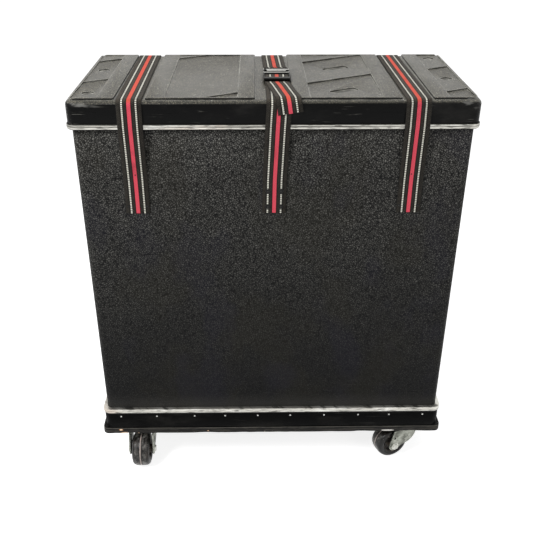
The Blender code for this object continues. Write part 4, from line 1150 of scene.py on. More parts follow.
@dataclass(frozen=True)
class DarkMoulding(Finish):
    """Plain dark moulding for the hubs, the grips and the black rivet heads."""

    base: Colour = tone("1f1c19")
    worn: Colour = tone("5a5148")
    roughness: float = 0.42
    grain: float = 600.0

    def paint(self, writer: NodeWriter) -> dict[str, object]:
        """Writes the material's nodes and returns the shader's inputs."""
        place = writer.place()
        wear = writer.mask(EdgeWear, place, Radius=0.0007, Patches=190.0)
        clouds = writer.step(writer.noise(place, 75.0, 4.0), 0.45, 0.72)
        base = writer.mix(writer.times(clouds, 0.45), self.base, self.worn)
        base = writer.mix(writer.times(wear, 0.5), base, tone("8b857c"))
        grain = writer.group(PebbleGrain, place, Scale=self.grain)
        rough = writer.between(grain.outputs["Height"], self.roughness + 0.1, self.roughness - 0.05)
        return {
            "Base Color": base,
            "Roughness": rough,
            "Specular IOR Level": 0.2,
            "Normal": writer.bump(grain.outputs["Height"], 0.4, 0.00012),
        }


@dataclass(frozen=True)
class SewingThread(Finish):
    """Twisted black polyester thread."""

    base: Colour = tone("26231f")

    def paint(self, writer: NodeWriter) -> dict[str, object]:
        """Writes the material's nodes and returns the shader's inputs."""
        place = writer.place()
        twist = writer.streaks(place, (2600, 900, 900), 2.0)
        return {
            "Base Color": writer.mix(twist, self.base, tone("4d473f")),
            "Roughness": 0.7,
            "Normal": writer.bump(twist, 0.4, 0.0001),
        }


SHEET = GrainedSheet("grained_sheet", "grained_sheet")
LID_PLASTIC = MouldedPlastic("lid_plastic", "moulded_plastic", top_level=0.7135,
                             slot_shade_levels=(0.71205, 0.71255))
TRAY_PLASTIC = MouldedPlastic("tray_plastic", "moulded_plastic", base=tone("050505"), rub=tone("4a4945"),
                              dust_and_sheen_amount=0.3, gloss=0.45, specular=0.03, shadow_line_level=0.1272)
PIN_STEEL = PlatedSteel("rivet_pin", "zinc", bright=tone("ffffff"), dull=tone("d6d6d0"), roughness=0.5,
                        metallic=0.15)
BEAD_METAL = RolledBead("rolled_bead", "rim_metal")
PLYWOOD = PaintedPlywood("painted_plywood", "painted_plywood")
WEBBING = StripedWebbing("striped_webbing", "webbing")
SOCKET_PLASTIC = BucklePlastic("socket_plastic", "buckle_plastic")
PLUG_PLASTIC = BucklePlastic("plug_plastic", "buckle_plastic", base=tone("070707"), top_reflection_amount=0.05,
                             specular=0.08)
ZINC = PlatedSteel("zinc_plate", "zinc")
BRIGHT_ZINC = PlatedSteel("bright_zinc", "zinc", bright=tone("f2f2ec"), dull=tone("c0c1b9"), roughness=0.28,
                          metallic=0.6)
NICKEL = PlatedSteel("handle_nickel", "handle_steel", bright=tone("d2d2ce"), dull=tone("a2a39e"), roughness=0.2,
                     metallic=0.95)
RUBBER = TyreRubber("tyre_rubber", "tyre_rubber")
HUB = DarkMoulding("hub_moulding", "hub_plastic", base=tone("1b1714"), worn=tone("7d6f5c"))
GRIP = DarkMoulding("grip_moulding", "grip_plastic", base=tone("171717"), worn=tone("3a3936"), grain=450.0)
RIVET_BLACK = DarkMoulding("rivet_black", "moulded_plastic", base=tone("0e0e0e"), worn=tone("2b2a28"),
                           roughness=0.3)
THREAD = SewingThread("sewing_thread", "webbing")


# Fasteners, each modelled at the origin with its head towards +Z


def disc(name: str, sides: int, radius: float, depth: float) -> Thing:
    """Adds a short cylinder that stands on the origin's plane."""
    return settle(primitive(name, "cylinder", vertices=sides, radius=radius, depth=depth,
                            location=(0, 0, depth / 2)))


def is_top(face: bmesh.types.BMFace) -> bool:
    """Whether a face is the highest flat one."""
    return face.normal.z > 0.99


def is_high(edge: bmesh.types.BMEdge, level: float) -> bool:
    """Whether an edge lies above a level."""
    return all(vert.co.z > level for vert in edge.verts)


def edge_rise(edge: bmesh.types.BMEdge) -> float:
    """How much higher one end of an edge is than the other."""
    return abs(edge.verts[0].co.z - edge.verts[1].co.z)


def extrude(up: float) -> None:
    """Draws the selected face up or down, in edit mode."""
    bpy.ops.mesh.extrude_region_move(TRANSFORM_OT_translate={"value": (0, 0, up)})


def dome_top(thing: Thing, height: float, width: float) -> None:
    """Rounds a disc's top edge, in edit mode, and selects the flat face that is left."""
    select(thing, "edges", lambda edge: is_high(edge, height * 0.99))
    bevel_edges(width, 4)
    select(thing, "faces", lambda face: is_top(face) and len(face.verts) > 8)


def rivet(name: str, radius: float, height: float, pin: float) -> Thing:
    """A blind rivet's domed head with the end of its pin standing in a sunk middle.

    Args:
        name: Name of the pattern.
        radius: Radius of the head.
        height: Height of the head.
        pin: Radius of the pin.

    Returns:
        The rivet.
    """
    thing = disc(name, 20, radius, height)
    with editing(thing):
        dome_top(thing, height, height * 0.8)
        inner = radius - height * 0.8
        bpy.ops.mesh.inset(thickness=max(inner - pin * 1.25, inner * 0.2))
        extrude(-height * 0.35)
        bpy.ops.mesh.inset(thickness=pin * 0.25)
        extrude(height * 0.42)
        bpy.ops.mesh.inset(thickness=pin * 0.22)
        bpy.ops.transform.translate(value=(0, 0, pin * 0.16))
    return smooth(thing, 50)


def pan_screw(name: str, radius: float, height: float) -> Thing:
    """A pan head screw with a cross recess."""
    thing = disc(name, 24, radius, height)
    with editing(thing):
        dome_top(thing, height, height * 0.55)
        bpy.ops.mesh.inset(thickness=radius * 0.12)
        bpy.ops.mesh.poke()
    for x, y in ((radius * 0.52, radius * 0.11), (radius * 0.11, radius * 0.52)):
        cut_box(thing, (-x, -y, height * 0.55), (x, y, height * 1.45))
    return smooth(thing, 40)


def hex_piece(name: str, flats: float, height: float, bore: float = 0.0) -> Thing:
    """A hexagonal head or nut with chamfered corners and a raised washer face.

    Args:
        name: Name of the pattern.
        flats: Width across the flats.
        height: Height of the head.
        bore: Radius of a sunk bore in its top, or 0 for a plain head.

    Returns:
        The head or nut.
    """
    thing = disc(name, 6, flats / math.sqrt(3), height)
    with editing(thing):
        select(thing, "edges", lambda edge: edge_rise(edge) < height * 0.1)
        bevel_edges(height * 0.13, 3)
        select(thing, "faces", is_top)
        bpy.ops.mesh.inset(thickness=flats * 0.05)
        if bore:
            bpy.ops.mesh.inset(thickness=flats * 0.43 - bore)
            extrude(-height * 0.45)
    soften(thing, height * 0.05, 2, 50)
    return smooth(thing, 34)


def facing(place: Sequence[float], direction: Sequence[float]) -> Matrix:
    """The place of a fastener whose head looks along a direction."""
    turn = Vector((0, 0, 1)).rotation_difference(Vector(direction)).to_matrix().to_4x4()
    return Matrix.Translation(place) @ turn


# Casing


@dataclass
class Casing:
    """The body, the lid, the tray, the rims, the board and the tray's rivets."""

    sizes: CaseSizes
    tray_rivets_at: tuple[float, ...] = (-0.2790, -0.2130, -0.1433, -0.0870, -0.0265, 0.0336, 0.0963, 0.1597,
                                         0.2170, 0.2794)
    tray_rivet_pitch: float = 0.062
    tray_rivet_radius: float = 0.0026
    board_dent: float = 0.0009
    corner: float = 0.030
    corner_gain: float = 0.016
    slot_floor: float = 0.7132
    slot_slant: float = math.radians(28)
    slot_reach: float = 0.06
    slot_widening: float = 0.78
    slot_deeper: float = 0.0009

    def build(self) -> None:
        """Builds and dresses every piece of the casing."""
        dressed_copy("body_shell", SHEET, 0.0006, 2, shape=self.tighten)
        dressed_copy("lid_shell", LID_PLASTIC, 0.00035, 2, flatten=False, shape=self.shape_lid)
        dressed_copy("base_tray", TRAY_PLASTIC, 0.0006, 2, shape=self.tighten)
        dressed_copy("lid_rim", BEAD_METAL, degrees=50, shape=self.tighten)
        dressed_copy("base_rim", BEAD_METAL, degrees=50, shape=self.tighten)
        self.board()
        self.tray_rivets()

    def shape_lid(self, thing: Thing) -> None:
        """Tightens the lid's corners, and opens the short slots in its panels to the width of the real ones."""
        self.tighten(thing)
        floor = [vert.co.xy.copy() for vert in thing.data.vertices if abs(vert.co.z - self.slot_floor) < 0.00003]
        across = Vector((-math.sin(self.slot_slant), math.cos(self.slot_slant)))
        for vert in [vert for vert in thing.data.vertices if vert.co.z > self.slot_floor - 0.0001]:
            place = vert.co.xy.copy()
            if min((other - place).length for other in floor) > 0.0001:
                continue
            own = [other for other in floor if (other - place).length < self.slot_reach]
            low = [min(other[axis] for other in own) for axis in (0, 1)]
            high = [max(other[axis] for other in own) for axis in (0, 1)]
            shift = across * (place - (Vector(low) + Vector(high)) / 2).dot(across) * self.slot_widening
            deeper = self.slot_deeper if vert.co.z < self.slot_floor + 0.0001 else 0.0
            vert.co += Vector((shift.x, shift.y, -deeper))

    def tighten(self, thing: Thing) -> None:
        """Draws the four upright corners out to a smaller radius, with the walls left where they are."""
        centre_x, centre_y = self.sizes.lid_end - self.corner, self.sizes.lid_face - self.corner
        for vert in thing.data.vertices:
            place = vert.co
            out_x, out_y = abs(place.x) - centre_x, abs(place.y) - centre_y
            if out_x < -0.00005 or out_y < -0.00005:
                continue
            share = math.hypot(out_x, out_y) / self.corner
            weight = min(max((share - 0.4) / 0.35, 0.0), 1.0)
            gain = self.corner_gain * weight * weight * (3 - 2 * weight)
            place.x = math.copysign(centre_x + share * gain + out_x * (1 - gain / self.corner), place.x)
            place.y = math.copysign(centre_y + share * gain + out_y * (1 - gain / self.corner), place.y)

    def board(self) -> None:
        """Models the plywood board with knocked corners and a dented edge."""
        low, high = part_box("base_board")
        middle, size = (low + high) / 2, high - low
        thing = primitive("made_base_board", "cube", size=1, location=middle)
        thing.scale = size
        with editing(settle(thing)):
            select(thing, "edges", lambda edge: edge_rise(edge) > size.z / 2)
            bevel_edges(0.010, 6)
            select(thing, "edges", lambda edge: edge_rise(edge) < size.z / 10)
            bevel_edges(0.0009, 2)
        cuts = 96
        for axis, reach in ((0, size.x), (1, size.y)):
            count = cuts if axis == 0 else cuts // 2
            self.bisected(thing, axis, [low[axis] + reach * (index + 0.5) / count for index in range(count)])
        self.dent(thing, low, high)
        smooth(thing, 40)
        stand_in(thing, "base_board", PLYWOOD)

    @staticmethod
    def bisected(thing: Thing, axis: int, levels: Sequence[float]) -> None:
        """Cuts a mesh across at each level, so that its edges can be dented."""
        normal = Matrix.Identity(3)[axis]
        with editing(thing):
            for level in levels:
                bisect(normal * level, normal)

    def dent(self, thing: Thing, low: Vector, high: Vector) -> None:
        """Pushes the board's edge inwards here and there, most at its lower corner line."""
        middle = (low + high) / 2
        for vert in thing.data.vertices:
            place = vert.co
            inner = max(abs(place.x - middle.x) / (high.x - middle.x),
                        abs(place.y - middle.y) / (high.y - middle.y))
            if inner < 0.96:
                continue
            rough = noise.noise(place * 32) * 0.6 + noise.noise(place * 95) * 0.4
            knock = max(rough, 0.0) * self.board_dent * 1.6
            if place.z < middle.z:
                knock += max(noise.noise(Vector((place.x * 21, place.y * 21, 7.0))) - 0.1, 0.0) * self.board_dent * 3
                vert.co.z += max(noise.noise(Vector((place.x * 40, place.y * 40, 3.0))), 0.0) * 0.0008
            inward = Vector((middle.x - place.x, middle.y - place.y, 0.0))
            if abs(inward.x) / (high.x - middle.x) > abs(inward.y) / (high.y - middle.y):
                inward.y = 0.0
            else:
                inward.x = 0.0
            vert.co += inward.normalized() * knock

    def tray_rivets(self) -> None:
        """Sets a row of small rivets along each side of the tray."""
        pattern = rivet("tray_rivet", self.tray_rivet_radius, 0.0009, 0.0013)
        level = self.sizes.tray_level
        pin = disc("tray_pin", 12, 0.0013, 0.0013)
        places = []
        for x in self.tray_rivets_at:
            for sign in (-1, 1):
                places.append(facing((x, sign * self.sizes.lid_face, level), (0, sign, 0)))
        for index in range(4):
            y = (index - 1.5) * self.tray_rivet_pitch
            for sign in (-1, 1):
                places.append(facing((sign * self.sizes.lid_end, y, level), (sign, 0, 0)))
        pins = set_out("tray_rivet_pins", smooth(pin), places)
        finish_rigid(pins, "case", [PIN_STEEL])
        thing = set_out("tray_rivets", pattern, places)
        discard(pattern, pin)
        finish_rigid(thing, "case", [RIVET_BLACK])


# Webbing


@dataclass
class Web:
    """A length of webbing laid along a route, with its width, thickness and woven pattern."""

    name: str
    route: Sequence[Point]
    width: float
    thickness: float = 0.0014
    corner: float = 0.006
    spacing: float = 0.0035
    start_at: float = 0.0
    end_lean: float = 0.0

    def stations(self) -> list[Vector]:
        """Points along the route with its corners rounded, evenly spaced.

        Returns:
            The points, from the route's start to its end.
        """
        corners = [Vector(point) for point in self.route]
        line = [corners[0]]
        for before, here, after in zip(corners, corners[1:], corners[2:]):
            into, out = here - before, after - here
            bend = into.angle(out, 0.0)
            reach = min(self.corner * math.tan(bend / 2), into.length * 0.48, out.length * 0.48)
            first, last = here - into.normalized() * reach, here + out.normalized() * reach
            steps = max(2, math.ceil(math.degrees(bend) / 9))
            for index in range(steps + 1):
                t = index / steps
                line.append(first * (1 - t) ** 2 + here * 2 * t * (1 - t) + last * t * t)
        line.append(corners[-1])
        return self.spaced([point for point, other in zip(line, line[1:]) if (point - other).length > 1e-6]
                           + [line[-1]])

    def spaced(self, line: list[Vector]) -> list[Vector]:
        """Adds points on long straights."""
        points = [line[0]]
        for before, after in zip(line, line[1:]):
            count = max(1, math.ceil((after - before).length / self.spacing))
            points += [before.lerp(after, (index + 1) / count) for index in range(count)]
        return points

    def section(self) -> list[tuple[float, float]]:
        """The web's section: flat faces, rounded selvedges, offset across and outwards."""
        half, thick = self.width / 2, self.thickness / 2
        step = thick * 0.6
        top = [(-half + step, thick), (-half / 2, thick), (0.0, thick), (half / 2, thick), (half - step, thick)]
        side = [(half, thick - step), (half, -thick + step)]
        return top + side + [(-x, -y) for x, y in top] + [(-x, -y) for x, y in side]

    def build(self) -> Thing:
        """Sweeps the section along the route, closes its ends and lays the woven pattern on it.

        Returns:
            The web.
        """
        points = self.stations()
        section = self.section()
        shape = bmesh.new()
        rings, travels = [], []
        travel = self.start_at
        for index, point in enumerate(points):
            before = points[max(index - 1, 0)]
            after = points[min(index + 1, len(points) - 1)]
            if index:
                travel += (point - before).length
            along = (after - before).normalized()
            across = Vector((1, 0, 0)) - along * along.x
            across.normalize()
            outward = across.cross(along)
            lean = along * self.end_lean if index == len(points) - 1 else Vector()
            rings.append([
                shape.verts.new(point + across * x + outward * z + lean * x) for x, z in section
            ])
            travels.append(travel)
        faces = []
        count = len(section)
        for first, second in zip(rings, rings[1:]):
            for index in range(count):
                other = (index + 1) % count
                faces.append(shape.faces.new((first[index], second[index], second[other], first[other])))
        shape.faces.new(rings[0])
        shape.faces.new(rings[-1][::-1])
        self.lay_pattern(shape, rings, travels, section)
        bmesh.ops.recalc_face_normals(shape, faces=shape.faces)
        mesh = bpy.data.meshes.new(self.name)
        shape.to_mesh(mesh)
        shape.free()
        return smooth(placed(self.name, mesh), 55)

    def lay_pattern(self, shape: bmesh.types.BMesh, rings: list, travels: list[float],
                    section: list[tuple[float, float]]) -> None:
        """Writes the UV map that the woven pattern follows: across the web, and along it in widths."""
        layer = shape.loops.layers.uv.new("web")
        spot = {}
        for ring, travel in zip(rings, travels):
            for vert, (x, _z) in zip(ring, section):
                spot[vert] = (x / self.width + 0.5, travel / self.width)
        for face in shape.faces:
            for loop in face.loops:
                loop[layer].uv = spot[loop.vert]

    def length(self) -> float:
        """The web's length along its middle."""
        points = self.stations()
        return sum((after - before).length for before, after in zip(points, points[1:]))


@dataclass(frozen=True)
class Bend:
    """Two bodies that a web runs between, and the points where it leaves one and joins the other."""

    first: str
    second: str
    start: Point
    end: Point


def lay_web(web: Web, nodes: Sequence[str], body: str = "",
            bend: Bend | None = None) -> Thing:
    """Args:
        web: The web to build.
        nodes: The frame's nodes that it stands for.
        body: The body that it rides on, if it crosses no joint.
        bend: The joint that it crosses, if it crosses one.

    Returns:
        The finished web.
    """
    thing = web.build()
    put_finish(thing, WEBBING)
    if bend:
        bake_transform(thing)
    else:
        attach(thing, body)
    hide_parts(*nodes)
    web.length()
    return report(thing)


@dataclass
class StrapSet:
    """The three straps: their webs, sewn laps and rivets."""

    sizes: CaseSizes
    thickness: float = 0.0015
    strap_leave: float = 0.055
    plug_frame: float = 0.026
    centre_plug_gain: float = 0.007
    centre_bar_gain: float = 0.003
    centre_socket_gain: float = 0.0035
    centre_slot_gain: float = 0.0028
    tail_rise: float = 0.022
    tail_veer: float = 0.16
    tail_hang: float = 0.0105
    rear_tail: float = 0.042
    rear_anchor_low: float = 0.470
    mouth_y: float = -0.016
    rear_mouth_z: float = 0.560
    socket_length: float = 0.029
    socket_floor: float = 0.002
    cavity_height: float = 0.0052
    plug_thickness: float = 0.0046
    side_x: float = 0.214
    centre_x: float = 0.0066

    @property
    def lift(self) -> float:
        """Height of a web's middle above what it lies on."""
        return self.sizes.seat_gap + self.thickness / 2

    @property
    def second_lift(self) -> float:
        """Height of the middle of a web that lies on another."""
        return self.lift + self.thickness + self.sizes.seat_gap

    @property
    def leave_level(self) -> float:
        """Level at which a strap leaves the body's face for the lid's bead."""
        return self.sizes.strap_low + self.strap_leave

    @property
    def lid_low(self) -> Point:
        """The level above which a web lies on the lid alone."""
        return (0, 0, self.sizes.bead_level - 0.008)

    @property
    def lid_bend(self) -> Bend:
        """The bend of a web that runs from the body to the lid."""
        return Bend("case", "lid", (0, 0, self.leave_level + 0.012), self.lid_low)

    def edge_bend(self, low_lift: float, high_lift: float) -> list[tuple[float, float]]:
        """Y and Z round the lid's front edge, from the skirt to the top.

        Args:
            low_lift: Height above the skirt where the bend starts.
            high_lift: Height above the channel floor where it ends.

        Returns:
            The bend's points.
        """
        radius = self.sizes.lid_edge_radius
        y, z = -(self.sizes.lid_face - radius), self.sizes.channel_floor - radius
        points = []
        for index in range(9):
            share = index / 8
            reach = radius + low_lift + share * (high_lift - low_lift)
            angle = share * math.pi / 2
            points.append((y - reach * math.cos(angle), z + reach * math.sin(angle)))
        return points

    def front_rise(self) -> list[tuple[float, float]]:
        """Y and Z from the riveted end, out over the lid's bead, to the lid's front edge."""
        face = -(self.sizes.body_face + self.lift)
        bead = -(self.sizes.bead_face + self.lift)
        return [(face, self.sizes.strap_low), (face, self.leave_level), (bead, self.sizes.bead_level)]

    def socket_loop(self, gain: float = 0.0) -> list[tuple[float, float]]:
        """Along and up from the socket's mouth: under its end bar, over it, and back as a lap."""
        low, lap = self.lift, self.second_lift
        top = self.socket_floor + self.cavity_height - self.sizes.seat_gap + self.thickness / 3
        slot = -(self.socket_length + gain - 0.0061)
        outer = -(self.socket_length + gain + 0.0012)
        return [
            (slot - 0.0017, low), (slot, low + 0.0016), (slot, top - 0.0014), (slot - 0.0017, top),
            (outer, top), (outer - 0.0013, top - 0.0014), (outer - 0.0023, lap + 0.0007),
            (outer - 0.0038, lap), (outer - 0.0238, lap),
        ]

    def ladder_weave(self, reach: float, gain: float = 0.0, slot_gain: float = 0.0) -> list[tuple[float, float]]:
        """Along and up from the plug's mouth: up a slot, over the middle bar and out below the front one."""
        lap = self.second_lift
        top = self.socket_floor + self.plug_thickness
        up = 0.0062 - slot_gain
        return [
            (up, lap - 0.0006), (up, top - 0.0018), (up + 0.0006, top - 0.0003), (up + 0.0026, top),
            (0.0152 + gain, top), (0.0168 + gain, top - 0.0005), (0.0177 + gain, top - 0.0023),
            (0.0188 + gain, lap + 0.0002), (0.0200 + gain, lap), (self.plug_frame + reach, lap),
        ]

    def on_lid(self, points: Iterable[tuple[float, float]]) -> list[tuple[float, float]]:
        """Buckle directions on the lid as Y and Z: the pull is towards the front."""
        return [(self.mouth_y - along, self.sizes.channel_floor + up) for along, up in points]

    def on_back(self, points: Iterable[tuple[float, float]]) -> list[tuple[float, float]]:
        """Buckle directions on the back as Y and Z: the pull is upwards."""
        return [(self.sizes.body_face + up, self.rear_mouth_z + along) for along, up in points]

    def build(self) -> None:
        """Builds the outer straps, the centre strap and their fasteners."""
        self.side_strap(Side.LEFT, -0.0005, -0.0030)
        self.side_strap(Side.RIGHT, 0.0008, -0.0022)
        self.centre_strap()
        self.sewn_laps()
        self.strap_rivets()

    def side_strap(self, side: Side, front_shift: float, rear_shift: float) -> None:
        """Lays one outer strap from its riveted front end to its anchor on the back.

        Args:
            side: The strap's side.
            front_shift: How far its front lies from the channel's middle.
            rear_shift: How far its rear lies from the channel's middle.
        """
        x = side.value * self.side_x
        word = side.word
        front, rear = x + front_shift, x + rear_shift
        bend = self.edge_bend(self.lift, self.lift)
        top_y = bend[-1][0]
        rise = [(front, y, z) for y, z in self.front_rise() + bend]
        top = [(rear, -top_y - 0.006, bend[-1][1])]
        over = Web(word + "_web_front", rise + top, self.sizes.strap_width)
        lay_web(over, [word + "_strap_front", word + "_strap_over"],
                bend=self.lid_bend)
        down = [(rear, -y, z) for y, z in bend[::-1]]
        straight = self.rear_mouth_z + self.plug_frame + self.rear_tail
        back = [(x, self.sizes.bead_face + self.lift, self.sizes.bead_level),
                (x, self.sizes.body_face + self.lift, straight)]
        end = [(x, *self.on_back([(WEB_TURN, self.lift)])[0])]
        rear_web = Web(word + "_web_rear", top + down + back + end, self.sizes.strap_width,
                       start_at=over.length())
        lay_web(rear_web, [word + "_strap_over"],
                bend=Bend("lid", word + "_plug", self.lid_low, (0, 0, straight - 0.01)))
        tail = Web(word + "_web_tail", [(x, y, z) for y, z in self.on_back(self.ladder_weave(self.rear_tail))],
                   self.sizes.strap_width, corner=0.002, spacing=0.002)
        lay_web(tail, [word + "_strap_tail"], body=word + "_plug")
        loop = self.on_back(self.socket_loop()[::-1]) + [(self.sizes.body_face + self.lift, self.rear_anchor_low)]
        anchor = Web(word + "_web_anchor", [(x, y, z) for y, z in loop], self.sizes.strap_width,
                     corner=0.002, spacing=0.002)
        lay_web(anchor, [word + "_strap_anchor"], body="case")

    def centre_strap(self) -> None:
        """Lays the centre strap: its front, the riser to the plug, its tail, and its rear with the loop."""
        sizes = self.sizes
        width = sizes.strap_width
        x = self.centre_x
        low_x, edge_x = 0.0008, 0.0076
        bend = self.edge_bend(self.lift, self.lift)
        rise = self.front_rise()
        points = [(low_x, *rise[0]), (0.0018, *rise[1]), (0.0057, *rise[2])] + [(edge_x, y, z) for y, z in bend]
        seam = (edge_x, bend[-1][0] + 0.006, bend[-1][1])
        front = Web("centre_web_front", points + [seam], width)
        lay_web(front, ["centre_strap_front", "centre_strap_riser"],
                bend=self.lid_bend)
        under = (x, *self.on_lid([(WEB_TURN - self.centre_slot_gain, self.lift)])[0])
        riser = Web("centre_web_riser", [seam, under], width, start_at=front.length())
        lay_web(riser, ["centre_strap_riser"],
                bend=Bend("lid", "centre_plug", (0, seam[1] + 0.004, 0), (0, -0.055, 0)))
        loop = [(x, y, z) for y, z in self.on_lid(self.socket_loop(self.centre_socket_gain)[::-1])]
        rear_x = 0.0026
        rear = [(rear_x, -y, z) for y, z in (self.front_rise() + bend)[::-1]]
        back = Web("centre_web_rear", loop + rear, width, corner=0.004)
        lay_web(back, ["centre_strap_back", "centre_strap_rear"],
                bend=self.lid_bend)
        self.centre_tail(x, width)

    def centre_tail(self, x: float, width: float) -> None:
        """Lays the free tail: out of the plug, drifting sideways, and over the lid's front edge."""
        sizes = self.sizes
        longer = self.centre_plug_gain + self.centre_bar_gain
        weave = self.on_lid(self.ladder_weave(longer + 0.002, self.centre_plug_gain, self.centre_slot_gain))
        hinge = weave[-1][0]
        bend = self.edge_bend(self.second_lift, sizes.channel_depth + self.lift)[::-1]
        low_end = sizes.channel_floor - sizes.lid_edge_radius - self.tail_hang
        lean = (sizes.bead_face - sizes.lid_face) / (bend[-1][1] - sizes.bead_level)
        end = (bend[-1][0] - lean * (bend[-1][1] - low_end), low_end)
        rise = self.on_lid([(self.plug_frame + longer + self.tail_rise, sizes.channel_depth + self.lift)])
        path = weave + rise + bend + [end]
        points, travel, before = [], 0.0, weave[0]
        for y, z in path:
            if y < hinge:
                travel += math.hypot(y - before[0], z - before[1])
            points.append((x + self.tail_veer * travel, y, z))
            before = (y, z)
        tail = Web("centre_web_tail", points, width, corner=0.003, spacing=0.0022)
        lay_web(tail, ["centre_strap_tail"], body="centre_plug")

    def sewn_laps(self) -> None:
        """Sews the three laps behind the sockets with rows of stitches."""
        pattern = self.stitch()
        lap_y = self.sizes.channel_floor + self.second_lift + self.thickness / 2
        lap_back = self.sizes.body_face + self.second_lift + self.thickness / 2
        for word, x, body in (("centre", self.centre_x, "lid"), ("left", -self.side_x, "case"),
                              ("right", self.side_x, "case")):
            places = []
            for across, along, turned in self.stitch_plan():
                turn = Matrix.Rotation(0.0 if turned else math.pi / 2, 4, "Z")
                start = self.socket_length + 0.0062
                if word == "centre":
                    start += self.centre_socket_gain
                    place = Matrix.Translation((x + across, self.mouth_y + start + along, lap_y)) @ turn
                else:
                    place = (Matrix.Translation((x + across, lap_back, self.rear_mouth_z - start - along))
                             @ Matrix.Rotation(-math.pi / 2, 4, "X") @ turn)
                places.append(place)
            thing = set_out(word + "_lap_stitches", pattern, places)
            finish_rigid(thing, body, [THREAD])
        discard(pattern)

    @staticmethod
    def stitch_plan() -> list[tuple[float, float, bool]]:
        """Each stitch of a boxed lap: its place across and along, and whether it runs along."""
        plan = []
        for index in range(11):
            for along in (0.0, 0.0150):
                plan.append(((index - 5) * 0.0030, along, False))
        for index in range(5):
            for across in (-0.0163, 0.0163):
                plan.append((across, 0.0015 + index * 0.0030, True))
        return plan

    @staticmethod
    def stitch() -> Thing:
        """One stitch: a short thread that dips into the web at both ends."""
        thing = primitive("stitch", "cylinder", vertices=6, radius=0.00032, depth=0.0022,
                          rotation=(math.pi / 2, 0, 0))
        with editing(settle(thing)):
            for place in (0.0005, -0.0005):
                bisect((0, place, 0), (0, 1, 0))
        for vert in thing.data.vertices:
            if abs(vert.co.y) > 0.0009:
                vert.co.z -= 0.0003
        return smooth(thing, 60)

    def strap_rivets(self) -> None:
        """Rivets the straps' ends to the body, front and back."""
        pattern = rivet("strap_rivet", 0.0040, 0.0013, 0.0009)
        small = rivet("small_strap_rivet", 0.0024, 0.0009, 0.0006)
        face = self.sizes.body_face + self.lift + self.thickness / 2 - 0.0001
        rows = (0.0365, 0.0105)
        centre = [facing((0.0008 + sign * 0.0102 + row * 0.02, y * face, self.sizes.strap_low + row), (0, y, 0))
                  for sign in (-1, 1) for row in rows for y in (-1, 1)]
        finish_rigid(set_out("centre_strap_rivets", pattern, centre), "case", [RIVET_BLACK])
        for side in Side:
            x = side.value * self.side_x
            front = [facing((x + across, -face, self.sizes.strap_low + up), (0, -1, 0))
                     for across, up in ((0.0, 0.066), (-0.0145, 0.012), (0.0145, 0.012))]
            thing = set_out(side.word + "_strap_rivets", small, front)
            finish_rigid(thing, "case", [RIVET_BLACK])
            back = [facing((x + across, face, self.rear_anchor_low + up), (0, 1, 0))
                    for across in (-0.0105, 0.0105) for up in (0.010, 0.030)]
            thing = set_out(side.word + "_anchor_rivets", pattern, back)
            finish_rigid(thing, "case", [RIVET_BLACK, BRIGHT_ZINC])
        discard(pattern, small)


# Buckles


@dataclass
class BuckleSet:
    """The three side-release buckles."""

    straps: StrapSet
    edge: float = 0.00035
    wall: float = 0.0014
    window: tuple[float, float] = (0.0042, 0.012)
    window_start: float = 0.004

    def build(self) -> None:
        """Dresses the plugs and sockets. The pair on the lid is drawn out to its own length."""
        straps = self.straps
        longer, bar, slot = straps.centre_plug_gain, straps.centre_bar_gain, straps.centre_slot_gain
        stretches = {
            "centre_buckle_socket": [(0.001, 1.0, straps.centre_socket_gain)],
            "centre_buckle_plug": [(-0.0388, -0.028, -longer), (-1.0, -0.0388, -longer - bar),
                                   (-0.0215, -0.0205, slot)],
        }
        for word in ("centre", "left", "right"):
            for piece, finish in (("socket", SOCKET_PLASTIC), ("plug", PLUG_PLASTIC)):
                node = "%s_buckle_%s" % (word, piece)
                copy = merged_copy(node)
                for vert in copy.data.vertices:
                    vert.co.y += sum(gain for low, high, gain in stretches.get(node, ()) if low < vert.co.y < high)
                if piece == "socket":
                    self.windows(copy, node, word == "centre")
                soften(copy, self.edge, 2)
                smooth(copy)
                stand_in(copy, node, finish)

    def windows(self, thing: Thing, node: str, on_lid: bool) -> None:
        """Cuts the two windows through the socket's top where the plug's prongs show.

        Args:
            thing: The socket.
            node: The node that it stands for.
            on_lid: Whether it lies on the lid, its mouth to the front, or on the back, its mouth up.
        """
        low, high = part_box(node)
        across, along = self.window
        for side in (-1, 1):
            edge = low.x if side < 0 else high.x
            x = sorted((edge - side * self.wall, edge - side * (self.wall + across)))
            if on_lid:
                start = low.y + self.window_start
                corners = (x[0], start, high.z - 0.0021), (x[1], start + along, high.z + 0.001)
            else:
                start = high.z - self.window_start
                corners = (x[0], high.y - 0.0021, start - along), (x[1], high.y + 0.001, start)
            cut_box(thing, *corners)


# Handles


